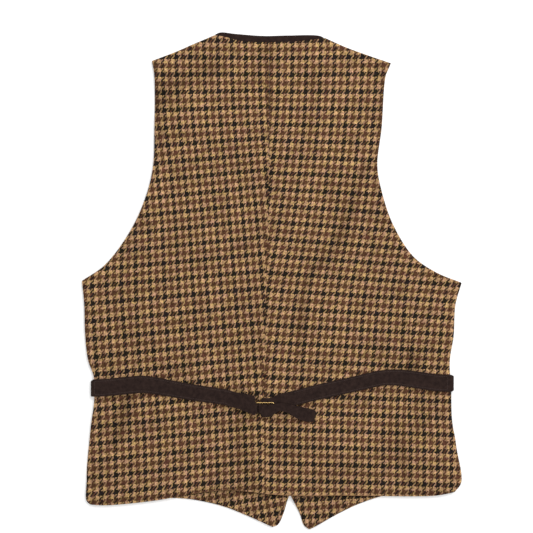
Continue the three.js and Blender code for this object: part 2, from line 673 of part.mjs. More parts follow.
function buckle() {
  const { x, y, width, height, wire, bar, corner } = BUCKLE;
  const level = barLow + wire / 2;
  const halfX = (width - wire) / 2 - corner;
  const halfY = (height - wire) / 2 - corner;
  const rim = [];
  for (const [sx, sy, from] of [[1, 1, 0], [-1, 1, 90], [-1, -1, 180], [1, -1, 270]]) {
    for (let k = 0; k <= CORNER_STEPS; k += 1) {
      const angle = THREE.MathUtils.degToRad(from + (k / CORNER_STEPS) * 90);
      rim.push(new THREE.Vector3(
        x + sx * halfX + corner * Math.cos(angle),
        y + sy * halfY + corner * Math.sin(angle),
        level,
      ));
    }
  }
  const top = y + (height - wire) / 2;
  const foot = y - (height - wire) / 2;
  let body = manifoldOf(tube(rim, wire / 2, WIRE_SIDES.frame, true));
  const middleBar = [new THREE.Vector3(x + bar, top, level), new THREE.Vector3(x + bar, foot, level)];
  body = body.add(manifoldOf(tube(middleBar, wire / 2 - LET_IN.bar, WIRE_SIDES.frame)));
  const prongLevel = overTop + SEAM_GAP + PRONG.wire / 2;
  for (const side of [-1, 1]) {
    const at = PRONG.x + side * PRONG.spread;
    const prong = [
      new THREE.Vector3(at, top + LET_IN.across, level + wire / 2 + LET_IN.up),
      new THREE.Vector3(at, top - PRONG.reach, prongLevel),
      new THREE.Vector3(at, top - PRONG.length, prongLevel),
    ];
    body = body.add(manifoldOf(tube(prong, PRONG.wire / 2, WIRE_SIDES.prong)));
  }
  return geometryOf(body);
}

const BAND_STEPS = { columns: 22, rows: [0, 0.5, 1] };

function neckBand() {
  const top = edgeOf(neckBandTop);
  const foot = edgeOf(neckBandFoot);
  const { columns, rows } = BAND_STEPS;
  const shares = Array.from({ length: columns + 1 }, (_, i) => i / columns);
  const plan = rows.map((v) => shares.map((u) => foot(u).lerp(top(u), v)));
  const lower = raised(plan, () => FLOOR_GAP);
  return wallBetween(raised(plan, () => FLOOR_GAP + NECK_BAND), lower);
}

// Sides of a button and of its holes, and a cutter tall enough for the whole wall
const BUTTON_SIDES = { rim: 16, hole: 6 };
const CUTTER = 30;

const buttonPlaces = Array.from({ length: BUTTONS.count }, (_, i) => ({
  x: CENTRE_FRONT,
  y: BUTTONS.first + (i / (BUTTONS.count - 1)) * (BUTTONS.last - BUTTONS.first),
}));

function button({ x, y }) {
  const { radius, thick, rim, shank, hole, holeSpread } = BUTTON;
  const seat = rightFrontFace(x, y) - SEAM_GAP;
  const profile = [
    [0, DISH.depth], [radius - DISH.rim - DISH.depth, DISH.depth], [radius - DISH.rim, 0],
    [radius - rim, 0], [radius, rim], [radius, thick - rim], [radius - rim, thick],
    [shank, thick], [shank, seat], [0, seat],
  ].map(([r, z]) => new THREE.Vector2(r, z));
  const turned = new THREE.LatheGeometry(profile, BUTTON_SIDES.rim).rotateX(Math.PI / 2);
  let body = manifoldOf(turned);
  for (const [sx, sy] of [[1, 1], [1, -1], [-1, 1], [-1, -1]]) {
    const drill = new THREE.CylinderGeometry(hole, hole, CUTTER, BUTTON_SIDES.hole).rotateX(Math.PI / 2);
    drill.translate(sx * holeSpread, sy * holeSpread, 0);
    body = body.subtract(manifoldOf(drill));
  }
  return geometryOf(body).translate(x, y, 0);
}

function leftFront() {
  const panel = frontPanel(
    sideLeft, frontArmholeLeft, shoulderLeft, frontHemLeft, frontEdgeLeft, frontNeckLeft, leftFrontFace,
  );
  let body = manifoldOf(panel);
  for (const { x, y } of buttonPlaces) {
    const slot = new THREE.BoxGeometry(BUTTONHOLE.length, BUTTONHOLE.width, CUTTER);
    slot.translate(x - BUTTONHOLE.length / 2 + BUTTON.shank + BUTTONHOLE.play, y, 0);
    body = body.subtract(manifoldOf(slot));
  }
  return geometryOf(body);
}

// The waistcoat
const waistcoat = new THREE.Group();

function add(name, geometry, material) {
  const mesh = new THREE.Mesh(geometry, material);
  mesh.name = name;
  waistcoat.add(mesh);
}

add("back_left", backPanel(sideLeft, armholeLeft, shoulderLeft, necklineLeft, hemLeft), tweed);
add("back_right", backPanel(sideRight, armholeRight, shoulderRight, necklineRight, hemRight), tweed);
add("front_left", leftFront(), tweed);
add("front_right", frontPanel(
  sideRight, frontArmholeRight, shoulderRight, frontHemRight, frontEdgeRight, frontNeckRight, rightFrontFace,
), tweed);
add("facing_left", facingPanel(frontHemLeft, frontEdgeLeft, facingTopLeft, leftFrontFace), tweed);
add("facing_right", facingPanel(frontHemRight, frontEdgeRight, facingTopRight, rightFrontFace), tweed);
add("neck_band", neckBand(), suede);
add("strap_left", strapLeft(), suede);
add("strap_right", strapRight(), suede);
add("buckle", buckle(), brass);
buttonPlaces.forEach((place, i) => add(`button_${i + 1}`, button(place), horn));

export default waistcoat;
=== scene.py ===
"""The looks of a checked tweed suit waistcoat that lies flat on its front, with its back up.

Sizes and places are in millimetres, as a maker notes them, and become metres in the meshes.
"""

import math

import bmesh
import bpy
import numpy as np
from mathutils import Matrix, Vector, noise


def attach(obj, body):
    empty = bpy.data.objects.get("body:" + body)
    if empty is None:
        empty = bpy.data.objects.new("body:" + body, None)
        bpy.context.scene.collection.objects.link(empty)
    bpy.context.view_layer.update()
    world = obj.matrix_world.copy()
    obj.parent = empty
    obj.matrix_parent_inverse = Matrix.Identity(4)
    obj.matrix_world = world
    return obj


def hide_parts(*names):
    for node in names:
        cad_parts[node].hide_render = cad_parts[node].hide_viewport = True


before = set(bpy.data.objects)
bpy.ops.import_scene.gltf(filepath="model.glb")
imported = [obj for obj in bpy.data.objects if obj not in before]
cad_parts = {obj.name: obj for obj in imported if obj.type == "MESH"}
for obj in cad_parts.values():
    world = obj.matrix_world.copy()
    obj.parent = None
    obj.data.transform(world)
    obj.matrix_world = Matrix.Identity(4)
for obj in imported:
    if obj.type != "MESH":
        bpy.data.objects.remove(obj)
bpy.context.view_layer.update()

MM = 0.001

# Cloth and gaps
TWEED = 1.6
FACING = 1.0
SUEDE = 1.6
SEAM_GAP = 0.3
SEWN_GAP = 0.02
LAYER_GAP = 0.6
STRAP_GAP = 0.5

# Height of the back's outer face
BACK_CROWN = 5.7
SWELL = {"height": 3.4, "flat": 18, "fade": 58, "top": 138, "top_fade": 70, "foot": -322, "foot_fade": 60}
DIP = {"depth": 0.5, "hem_roll": 8, "seam_roll": 5}

# The front closure, the wearer's left side over the right
CENTRE_FRONT = 23.8
OVERLAP = 31
LEFT_EDGE = CENTRE_FRONT + OVERLAP / 2
RIGHT_EDGE = CENTRE_FRONT - OVERLAP / 2
PLACKET = {"top": 92, "top_fade": 30, "foot": -282, "foot_fade": 42, "margin": 3, "fade": 24}
RIGHT_RISE = {"margin": 3, "fade": 20, "foot": -306, "foot_fade": 24}
BUTTON = {"radius": 7.5, "thick": 2.6}

# Edges of the back, each from the hem up or from the side in
SIDE_LEFT = (
    (-236, -291), (-241, -286), (-241, -262), (-235.6, -191), (-231, -155), (-231.6, -125),
    (-239, -103), (-243, -68), (-244, -31), (-247, 0),
)
ARMHOLE_LEFT = (
    (-247, 0), (-217, 21), (-186, 62), (-166, 104), (-155, 146), (-152.8, 200), (-153, 268), (-156, 286),
)
SHOULDER_LEFT = ((-156, 286), (-122, 299), (-104, 307), (-74.4, 319.5))
NECKLINE_LEFT = ((-74.4, 319.5), (-64, 318), (-36, 311.5), (-3, 310.3))
HEM_LEFT = (
    (-236, -291), (-215, -291.8), (-152, -285.7), (-106, -277.5), (-60, -272), (-28, -274), (-9.6, -276.4),
)
SIDE_RIGHT = (
    (238, -274.6), (246.6, -262), (240.5, -218), (234.5, -180), (233.4, -146), (231.6, -104),
    (236.6, -72), (239, -31), (247, -2.5),
)
ARMHOLE_RIGHT = (
    (247, -2.5), (214, 11), (184, 32), (158, 73), (143.5, 115), (137.4, 150), (142.9, 198),
    (148.6, 268), (155, 283),
)
SHOULDER_RIGHT = ((155, 283), (128.5, 292), (97, 303.5), (70.2, 315.4))
NECKLINE_RIGHT = ((70.2, 315.4), (60, 314.6), (33, 311.4), (-3, 310.3))
HEM_RIGHT = ((238, -274.6), (214, -278.9), (190, -280), (80, -278.8), (26, -279), (-9.6, -276.4))
CENTRE_BACK = ((-9.6, -276.4), (-9.8, -142), (-7.4, -25), (-4.2, 105), (-3, 310.3))

# Edges of the fronts where they leave the back's outline
FRONT_ARMHOLE_LEFT = (
    (-247, 0), (-218, 8), (-176, 50), (-148, 110), (-138, 170), (-139, 240), (-156, 286),
)
FRONT_ARMHOLE_RIGHT = (
    (247, -2.5), (218, -1), (174, 24), (144, 75), (126, 140), (128, 215), (155, 283),
)
FRONT_HEM_LEFT = (
    (-236, -290), (-180, -285), (-121, -283), (-90, -287), (-59, -295), (-28, -307.5), (-4, -318), (2, -320),
)
FRONT_EDGE_LEFT = (
    (2, -320), (8, -317.5), (14.7, -304.5), (21.2, -283.5), (33, -255),
    (LEFT_EDGE, -225), (LEFT_EDGE, 62),
)
FRONT_NECK_LEFT = ((LEFT_EDGE, 62), (26, 100), (-30, 195), (-66, 282), (-76, 318.6))
FRONT_HEM_RIGHT = (
    (238, -273.6), (190, -278), (150, -279), (113, -290.5), (82, -305.5), (58, -319), (48, -323.1),
)
FRONT_EDGE_RIGHT = (
    (48, -323.1), (42, -318.5), (36.8, -304), (25.7, -281.5), (14, -255),
    (RIGHT_EDGE, -225), (RIGHT_EDGE, 62),
)
FRONT_NECK_RIGHT = ((RIGHT_EDGE, 62), (19, 100), (50, 195), (65, 275), (72.4, 314.2))
FACING_TOP_LEFT = ((-124, -279), (-90, -268), (-40, -266), (4, -273), (16.5, -285))
FACING_TOP_RIGHT = ((152, -275), (120, -268), (74, -268), (44, -274), (30.5, -285))

# Where an edge made of two curves turns its corner, as a share of the panel
NECK_POINT = 0.52
UNDERARM = 0.5
FRONT_BREAK = 0.7

# How high the back's face stands at each of its edges, and how far it rolls down to it
ROLLS = (
    {"line": SIDE_LEFT, "height": 3.6, "roll": 10},
    {"line": SIDE_RIGHT, "height": 3.6, "roll": 10},
    {"line": ARMHOLE_LEFT, "height": 3.5, "roll": 14},
    {"line": ARMHOLE_RIGHT, "height": 3.5, "roll": 14},
    {"line": SHOULDER_LEFT, "height": 4.2, "roll": 6},
    {"line": SHOULDER_RIGHT, "height": 4.2, "roll": 6},
    {"line": NECKLINE_LEFT, "height": 4.5, "roll": 7},
    {"line": NECKLINE_RIGHT, "height": 4.5, "roll": 7},
)

# Soft folds of the back: place, slant from upright in degrees, length, breadth and height
FOLDS = (
    {"x": -184, "y": -180, "slant": 8, "length": 70, "breadth": 12, "height": -1.3},
    {"x": 172, "y": -158, "slant": -10, "length": 50, "breadth": 10, "height": -1.2},
    {"x": -190, "y": -92, "slant": 20, "length": 60, "breadth": 14, "height": -0.9},
    {"x": 178, "y": -88, "slant": -18, "length": 60, "breadth": 14, "height": -0.9},
    {"x": -48, "y": -268, "slant": 0, "length": 50, "breadth": 22, "height": 1.8},
    {"x": 222, "y": -258, "slant": 30, "length": 44, "breadth": 16, "height": 1.8},
    {"x": -110, "y": 150, "slant": 6, "length": 140, "breadth": 20, "height": 0.8},
    {"x": 100, "y": 140, "slant": -6, "length": 140, "breadth": 20, "height": 0.8},
)

# Creases of the back: the line each follows, its half breadth, how deep it lies and how much painted
# shade darkens the cloth's colour along it
CREASES = (
    {
        "line": (
            (122, 150), (108, 112), (95, 73), (80, 47), (60, 21), (47, 1), (41, -25), (38, -64), (37, -95),
        ),
        "breadth": 7, "depth": 0.8, "shade": 0.3,
    },
    {
        "line": ((-150, 226), (-132, 251), (-109, 266), (-74, 279)),
        "breadth": 14, "depth": 1.2, "shade": 0.18,
    },
    {
        "line": ((-187, -150), (-190, -163), (-196, -187), (-204, -213)),
        "breadth": 8, "depth": 1.6, "shade": 0.34,
    },
    {"line": ((-178, -84), (-176, -122)), "breadth": 6, "depth": 0.8, "shade": 0.16},
    {
        "line": ((-41, -160), (-41, -207), (-34, -245), (-20, -276)),
        "breadth": 10, "depth": 0.8, "shade": 0.14,
    },
    {"line": ((26, -176), (26, -222), (34, -250)), "breadth": 9, "depth": 0.5, "shade": 0.16},
    {"line": ((180, -92), (181, -118)), "breadth": 9, "depth": 0.8, "shade": 0.26},
    {"line": ((190, -104), (191, -190)), "breadth": 9, "depth": 0.7, "shade": 0.2},
    {"line": ((163, -186), (168, -222), (174, -258)), "breadth": 7, "depth": 1.4, "shade": 0.18},
    {"line": ((168, -8), (169, -88)), "breadth": 6, "depth": 0.6, "shade": 0.1},
    {"line": ((-197, -22), (-196, -104)), "breadth": 9, "depth": 0.8, "shade": 0.08},
    {"line": ((-152, 284), (-151, 180)), "breadth": 11, "depth": 0, "shade": 0.2},
    {"line": ((150, 270), (139, 160), (146, 110)), "breadth": 8, "depth": 0, "shade": 0.16},
    {
        "line": ((-232, -289), (-150, -284), (-60, -271), (-12, -275)),
        "breadth": 8, "depth": 0, "shade": 0.15,
    },
    {"line": ((150, -279), (236, -273)), "breadth": 8, "depth": 0, "shade": 0.12},
    {"line": ((-3, 308), (-4, 180), (-5, 105)), "breadth": 5, "depth": 0, "shade": 0.14},
)

# The hem where a front's point shows below it: a painted highlight lightens its edge towards a pale
# tan, and painted shade darkens the facing beneath it
HEM_SHOWS = {"from": -112, "to": 152, "fade": 14}
HEM_EDGE_HIGHLIGHT = {"breadth": 1.3, "shade": -0.55}
UNDER_HEM_SHADE = {"breadth": 3.4, "shade": 0.4}

# The waist darts: ends of the sewn line, and the share of a check that each takes up at the waist
DARTS = {
    "left": {"top": (-181, -12), "foot": (-183, -200), "take": 0.09},
    "right": {"top": (181, -8), "foot": (176, -196), "take": 0.28},
}
DART_GROOVE = {"depth": 0.7, "breadth": 3.0}

# The check's grain by height, given every 78 mm down from the top. At the centre back seam it has
# a column and a row number, counted in whole checks, and each half's rows slip past that by a
# little. `near` and `far` are a check's width at the seam and at the side, and `climb` is how many
# checks the rows rise towards the seam in 100 mm.
GRAIN_TOP = 378
GRAIN_STEP = 78
GRAIN_REACH = 230
GRAIN_ROWS = (-1.05, 2.55, 6.14, 9.90, 13.52, 17.01, 20.46, 23.92, 27.45, 31.0)
GRAIN = {
    "left": {
        "column": (20.8, 20.72, 20.6, 20.24, 19.75, 19.25, 18.79, 18.44, 18.3, 18.3),
        "slip": (-0.1, -0.05, 0.08, 0.13, 0.11, 0.12, 0.12, 0.11, 0.11, 0.11),
        "near": (18.1, 18.0, 17.8, 17.6, 17.7, 17.9, 18.2, 18.2, 18.2, 18.2),
        "far": (18.1, 18.1, 18.2, 17.7, 17.7, 19.1, 19.5, 19.5, 19.5, 19.5),
        "climb": (-0.2, -0.08, 0.17, 0.44, 0.47, 0.4, 0.43, 0.46, 0.44, 0.44),
    },
    "right": {
        "column": (17.35, 17.36, 17.41, 17.77, 18.25, 18.85, 19.25, 19.48, 19.51, 19.52),
        "slip": (-0.05, -0.05, -0.04, -0.08, -0.03, 0, 0, 0.01, 0, 0),
        "near": (18.4, 18.3, 17.8, 17.9, 18.0, 18.15, 18.5, 18.6, 18.5, 18.5),
        "far": (18.3, 18.3, 18.3, 18.1, 18.0, 17.5, 17.9, 17.6, 17.6, 17.6),
        "climb": (-0.2, -0.09, 0.03, 0.17, 0.32, 0.28, 0.22, 0.17, 0.14, 0.14),
    },
}
CHECK = {"width": 18.1, "length": 22.1}
FACING_GRAIN = {
    "left": {"x": -20, "y": -300, "turn": 9, "column": 0.62, "row": 0.7},
    "right": {"x": 60, "y": -300, "turn": 4, "column": 0.08, "row": 0.73},
}

# Stations along the straps' centre lines: place and width
STRAP_WIDTH = 20
SPACING = {"run": 9, "tail": 4.5}
LEFT_STRAP_RUN = (
    (-212, -138.1, 22.4), (-188, -135.8, 22.6), (-168, -134.3, 22.4), (-151, -136.2, 22), (-114, -142.8, 21),
    (-83, -147.7, 20.6), (-60, -151, 20.4),
)
RIGHT_STRAP_RUN = (
    (212, -132, 22.2), (186, -128.2, 22), (165, -125.5, 21), (146, -125.6, 20), (122, -130.5, 20),
    (93, -137.1, 19.6), (62, -143.7, 19.6), (36, -150.2, 19), (14, -156, 19.6),
)
TAIL_RUN = ((28, -167.6, 13), (37, -171.2, 16.3), (47, -173.8, 17), (53, -174.8, 16), (56, -175.2, 13))

# The straps' outer ends turn down over the side seams: `tilt` is the share of the quarter turn left
# out at its top, and `cut` is how much narrower the end is for its sloped corners
STRAP_END = {
    "overhang": 4.1, "radius": 4.2, "tilt": 0.08, "drop": 1.4, "lowest": 0.5, "steps": 6, "slope": 2.7,
}
LEFT_END = {"x": -231.3, "y": -139, "sign": 1, "cut": 2.6, "shift": -1.3}
RIGHT_END = {"x": 232.8, "y": -133, "sign": -1, "cut": 3.4, "shift": 0}

# The cinch buckle
BUCKLE = {
    "x": -9, "y": -164.8, "width": 24.6, "height": 15.6, "wire": 1.2, "bar": -6.3, "corner": 1.8, "ease": 1,
}

# The straps' stations at the buckle: place, width, the run they belong to and the lift above it
LEFT_CLIMB = (
    (-50, -153.9, 20, "back", 1.0), (-41, -155.5, 20.5, "low", -0.3), (-34, -157.5, 22.2, "low", 0.6),
    (-27, -159.6, 23, "high", -0.4), (-22, -161.6, 23.6, "high", 0),
)
CLIMB_HEADING = (0.981, -0.196)
LEFT_UNDER = ((-24.9, -164.8), (-31, -161))
RIGHT_ENTRY = ((6, -158.6, 20.5), (-1, -161.8, 21.4), (-7, -163.6, 22.8), (-13.4, -164, 23))
RIGHT_OVER = (
    (-11, -167.7, 15.6, 0), (-1, -167.6, 15.2, 0), (5, -165, 11.6, 0), (10, -163.4, 10, -0.6),
    (16, -164, 10.5, -1.3), (22, -165.6, 12, -1.5),
)
TAIL_FALL = {"stations": 4, "drop": 1.6}

# Stitching of the straps, by its distance from the outer end and from the edges
LEFT_SEWN = {"from": 7.5, "to": 186, "inset": 2.4}
RIGHT_SEWN = {"from": 10.5, "to": 212, "inset": 2.4}

# The neck band
BAND_TOP = (
    (-73.6, 320.6), (-67, 323.4), (-48, 321.6), (-11, 318.8), (20, 319.4), (62, 319), (69.4, 315.4),
)
BAND_FOOT = (
    (-71.6, 314.5), (-64, 312.6), (-36, 306), (-3, 304.8), (33, 306), (60, 309.6), (67.8, 311.4),
)
BAND_GRID = {"columns": 90, "rows": 12}
NECK_BAND = 2.0
FLOOR_GAP = 0.1

# The view: a long lens straight above, and the width of what it sees. The softbox is in metres.
VIEW = {"x": -6.8, "y": 18.7, "width": 693, "height": 2000, "plane": 4}
SOFTBOX = {"place": (0.9, 1.1, 1.7), "size": (1.6, 1.2), "power": 30}
DAYLIGHT = 0.8
FLOOR = {"reach": 5, "glow": 0.2}


# Curves and small measures
def ease(value):
    held = np.clip(value, 0, 1)
    return held**2 * (3 - 2 * held)


def roll(share):
    return np.sqrt(1 - (1 - np.clip(share, 0, 1)) ** 2)


class Line:
    """A centripetal Catmull-Rom curve through places, read by its share of length."""

    STEPS = 24

    def __init__(self, places):
        given = np.array(places, float)
        ends = np.vstack([2 * given[0] - given[1], given, 2 * given[-1] - given[-2]])
        t = np.linspace(0, 1, self.STEPS + 1)[1:, None]
        spans = [given[:1]]
        for a, b, c, d in zip(ends, ends[1:], ends[2:], ends[3:]):
            first, middle, last = (self.span(*pair) for pair in ((a, b), (b, c), (c, d)))
            leave = ((b - a) / first - (c - a) / (first + middle) + (c - b) / middle) * middle
            arrive = ((c - b) / middle - (d - b) / (middle + last) + (d - c) / last) * middle
            cubic = 2 * (b - c) + leave + arrive
            spans.append(b + t * (leave + t * (3 * (c - b) - 2 * leave - arrive + t * cubic)))
        self.points = np.vstack(spans)
        hops = np.linalg.norm(np.diff(self.points[:, :3], axis=0), axis=1)
        self.run = np.concatenate([[0], np.cumsum(hops)])

    @staticmethod
    def span(a, b):
        return max(np.linalg.norm((b - a)[:3]), 1e-6) ** 0.5

    def at(self, share):
        run = np.clip(share, 0, 1) * self.run[-1]
        return np.stack([np.interp(run, self.run, column) for column in self.points.T], -1)


class Edge:
    """One edge of a panel: a curve, or two that meet in a corner at the share `turn`."""

    def __init__(self, first, second=None, turn=1.0):
        self.first = Line(first)
        self.second = Line(second) if second else None
        self.turn = turn

    def at(self, share):
        near = self.first.at(share / self.turn)
        if self.second is None:
            return near
        far = self.second.at((share - self.turn) / (1 - self.turn))
        return np.where((share <= self.turn)[..., None], near, far)


def distance_to(line, place):
    """How far each place is from a line's points joined up."""
    points = line.at(np.linspace(0, 1, 61))
    nearest = np.full(place.shape[:-1], np.inf)
    for a, b in zip(points, points[1:]):
        step = b - a
        part = np.clip(((place - a) @ step) / (step @ step), 0, 1)
        nearest = np.minimum(nearest, np.linalg.norm(place - a - part[..., None] * step, axis=-1))
    return nearest


def by_height(y, values):
    """A smooth run of values that are given every GRAIN_STEP from GRAIN_TOP down."""
    given = np.array([2 * values[0] - values[1], *values, 2 * values[-1] - values[-2]])
    t = (GRAIN_TOP - y) / GRAIN_STEP
    i = np.clip(np.floor(t).astype(int), 0, len(values) - 2)
    t = t - i
    a, b, c, d = (given[i + k] for k in range(4))
    return b + t / 2 * (c - a + t * (2 * a - 5 * b + 4 * c - d + t * (3 * (b - c) + d - a)))


# Heights of the fronts and the back
def button_rise(place):
    x, y = place[..., 0], place[..., 1]
    span = ease((PLACKET["top"] - y) / PLACKET["top_fade"])
    span = span * ease((y - PLACKET["foot"]) / PLACKET["foot_fade"])
    beyond = np.abs(x - CENTRE_FRONT) - BUTTON["radius"] - PLACKET["margin"]
    return (BUTTON["thick"] + SEAM_GAP) * ease(1 - beyond / PLACKET["fade"]) * span


LEFT_REACH = Line((*FRONT_EDGE_LEFT, *FRONT_NECK_LEFT[1:])).at(np.linspace(0, 1, 121))


def left_front_face(place):
    return button_rise(place)


def right_front_face(place):
    x, y = place[..., 0], place[..., 1]
    beyond = x - np.interp(y, LEFT_REACH[:, 1], LEFT_REACH[:, 0]) - RIGHT_RISE["margin"]
    share = ease(1 - beyond / RIGHT_RISE["fade"]) * ease((y - RIGHT_RISE["foot"]) / RIGHT_RISE["foot_fade"])
    return (button_rise(place) + TWEED + LAYER_GAP) * share


def fold_height(fold, place):
    turn = math.radians(fold["slant"])
    x, y = place[..., 0] - fold["x"], place[..., 1] - fold["y"]
    along = x * math.sin(turn) + y * math.cos(turn)
    across = x * math.cos(turn) - y * math.sin(turn)
    fade = ease(1.3 - np.abs(along) / (fold["length"] / 2))
    return fold["height"] * np.exp(-((across / fold["breadth"]) ** 2)) * fade


EDGE_ROLLS = [(Line(each["line"]), each["height"], each["roll"]) for each in ROLLS]
HEM_LINES = [Line(HEM_LEFT), Line(HEM_RIGHT)]
SEAM_LINE = Line(CENTRE_BACK)


def back_face(place, troughs=True):
    x, y = place[..., 0], place[..., 1]
    span = ease((SWELL["top"] - y) / SWELL["top_fade"]) * ease((y - SWELL["foot"]) / SWELL["foot_fade"])
    beyond = np.abs(x - CENTRE_FRONT) - SWELL["flat"]
    crown = BACK_CROWN + SWELL["height"] * ease(1 - beyond / SWELL["fade"]) * span
    for fold in FOLDS:
        if troughs or fold["height"] > 0:
            crown = crown + fold_height(fold, place)
    height = crown
    for line, low, breadth in EDGE_ROLLS:
        height = np.minimum(height, low + (crown - low) * roll(distance_to(line, place) / breadth))
    hem = np.minimum(*(distance_to(line, place) for line in HEM_LINES))
    seam = distance_to(SEAM_LINE, place)
    dips = 2 - roll(hem / DIP["hem_roll"]) - roll(seam / DIP["seam_roll"])
    return height - DIP["depth"] * dips


# The check's grain on each piece, in whole checks across and down
def seam_at(y):
    points = SEAM_LINE.points
    return np.interp(y, points[:, 1], points[:, 0])


def dart_share(dart, y):
    share = np.clip((y - dart["foot"][1]) / (dart["top"][1] - dart["foot"][1]), 0, 1)
    return np.sin(math.pi * share)


def dart_x(dart, y):
    (top_x, top_y), (foot_x, foot_y) = dart["top"], dart["foot"]
    return foot_x + (top_x - foot_x) * (y - foot_y) / (top_y - foot_y)


def back_grain(hand, place, past_dart):
    table = GRAIN[hand]
    x, y = place[..., 0], place[..., 1]
    out = x - seam_at(y)
    near, far = 1 / by_height(y, table["near"]), 1 / by_height(y, table["far"])
    reach = np.abs(out)
    columns = reach * near + (far - near) * reach**2 / (2 * GRAIN_REACH)
    columns = columns + past_dart * DARTS[hand]["take"] * dart_share(DARTS[hand], y)
    across = by_height(y, table["column"]) + np.sign(out) * columns
    down = by_height(y, GRAIN_ROWS) + by_height(y, table["slip"]) - by_height(y, table["climb"]) * reach / 100
    return np.stack([across, down], -1)


def straight_grain(place, turn=0.0, column=0.0, row=0.0, x=0.0, y=0.0):
    angle = math.radians(turn)
    dx, dy = place[..., 0] - x, place[..., 1] - y
    across = dx * math.cos(angle) + dy * math.sin(angle)
    down = dx * math.sin(angle) - dy * math.cos(angle)
    return np.stack([40 + column + across / CHECK["width"], 40 + row + down / CHECK["length"]], -1)


# Meshes
GRAIN_MAP = "grain"
# The attribute that carries painted shade and painted highlight on the tweed
SHADE = "shade"


def grid_mesh(name, points, grain, face_up, shade=None):
    """A grid of faces on rows of points. `grain` gives the map at each corner of each face."""
    rows, columns = points.shape[0] - 1, points.shape[1] - 1
    bm = bmesh.new()
    bmesh.ops.create_grid(bm, x_segments=columns, y_segments=rows, size=0.5)
    mesh = bpy.data.meshes.new(name)
    bm.to_mesh(mesh)
    bm.free()
    flat = np.zeros(len(mesh.vertices) * 3)
    mesh.vertices.foreach_get("co", flat)
    flat = flat.reshape(-1, 3)
    column = np.rint((flat[:, 0] + 0.5) * columns).astype(int)
    row = np.rint((flat[:, 1] + 0.5) * rows).astype(int)
    mesh.vertices.foreach_set("co", (points[row, column] * MM).ravel())
    corners = np.zeros(len(mesh.loops), int)
    mesh.loops.foreach_get("vertex_index", corners)
    corners = corners.reshape(-1, 4)
    face_column = np.repeat(column[corners].min(1), 4)
    uv = grain(points[row, column][corners.ravel()], face_column)
    layer = mesh.uv_layers.new(name=GRAIN_MAP)
    layer.data.foreach_set("uv", uv.ravel())
    if shade is not None:
        mesh.attributes.new(SHADE, "FLOAT", "POINT").data.foreach_set("value", shade[row, column].ravel())
    mesh.polygons.foreach_set("use_smooth", np.ones(len(mesh.polygons), bool))
    mesh.update()
    if (sum(face.normal.z for face in mesh.polygons) > 0) != face_up:
        mesh.flip_normals()
    return mesh


def piece(name, mesh, finish, node=None):
    made = bpy.data.objects.new(name, mesh)
    bpy.context.scene.collection.objects.link(made)
    made.data.materials.append(finish)
    if node:
        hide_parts(node)
    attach(made, "root")
    return made


def give_wall(made, thickness, edge):
    """Gives a sheet its thickness, away from its outer face, with rounded edges."""
    wall = made.modifiers.new("wall", "SOLIDIFY")
    wall.thickness = thickness * MM
    wall.offset = -1
    wall.use_even_offset = False
    rounding = made.modifiers.new("rounding", "BEVEL")
    rounding.width = edge * MM
    rounding.segments = 3
    rounding.limit_method = "ANGLE"
    rounding.angle_limit = math.radians(55)


def plan_of(foot, top, outer, inner, u, v):
    """A panel's plan blended from its four edges. u runs in from the outer edge, and v up."""
    corners = {
        "foot_outer": foot.at(np.zeros(1)), "foot_inner": foot.at(np.ones(1)),
        "top_outer": top.at(np.zeros(1)), "top_inner": top.at(np.ones(1)),
    }
    s, t = u[..., None], v[..., None]
    blended = foot.at(u) * (1 - t) + top.at(u) * t + outer.at(v) * (1 - s) + inner.at(v) * s
    blended -= corners["foot_outer"] * (1 - s) * (1 - t) + corners["foot_inner"] * s * (1 - t)
    return blended - corners["top_outer"] * (1 - s) * t - corners["top_inner"] * s * t


def lay_column_on(dart, edges, columns, rows):
    """A grid of shares whose column nearest the dart runs along its line, and that column."""
    share = np.linspace(0, 1, columns + 1)
    up = np.linspace(0, 1, rows + 1)
    u, v = np.meshgrid(share, np.concatenate([HEM_ROWS, up[2:]]))
    place = plan_of(*edges, u, v)
    past = np.abs(place[..., 0]) - np.abs(dart_x(dart, place[..., 1]))
    wanted = np.array([np.interp(0, -row, share) for row in past])
    middle = (dart["top"][1] + dart["foot"][1]) / 2
    waist = np.argmin(np.abs(place[:, columns // 4, 1] - middle))
    column = int(round(wanted[waist] * columns))
    wanted = np.clip(wanted, 0.5 * column / columns, 1.6 * column / columns)
    shifted = [np.interp(share, [0, column / columns, 1], [0, at, 1]) for at in wanted]
    return np.array(shifted), v, column


def creases(place):
    """How deep the creases lie at each place, and how much painted shade darkens their colour there."""
    depth, shade = np.zeros(place.shape[:-1]), np.zeros(place.shape[:-1])
    for crease in CREASES:
        line = Line(crease["line"])
        near = np.exp(-((distance_to(line, place) / crease["breadth"]) ** 2))
        depth, shade = depth + crease["depth"] * near, shade + crease["shade"] * near
    return depth, shade


def hem_line(place, look):
    """Painted light or shade along the hem, where a front shows below it."""
    x = place[..., 0]
    shows = ease((x - HEM_SHOWS["from"]) / HEM_SHOWS["fade"])
    shows = shows * ease((HEM_SHOWS["to"] - x) / HEM_SHOWS["fade"])
    near = np.minimum(*(distance_to(line, place) for line in HEM_LINES))
    return look["shade"] * shows * np.exp(-((near / look["breadth"]) ** 2))


COLUMNS = 100
ROWS = 240
HEM_ROWS = (0, 0.0012, 0.0024, 0.0042)
UNEVEN = {"height": 0.35, "scale": 0.022}
FLAT_AT_SEAM = 20
ROUNDED = {"tweed": 0.5, "facing": 0.35, "suede": 0.45, "band": 0.6}


def unevenness(place):
    """The slight unevenness of pressed cloth."""
    flat = place.reshape(-1, 2) * UNEVEN["scale"]
    lifts = [noise.noise(Vector((x, y, 3.0))) for x, y in flat]
    return UNEVEN["height"] * np.array(lifts).reshape(place.shape[:-1])


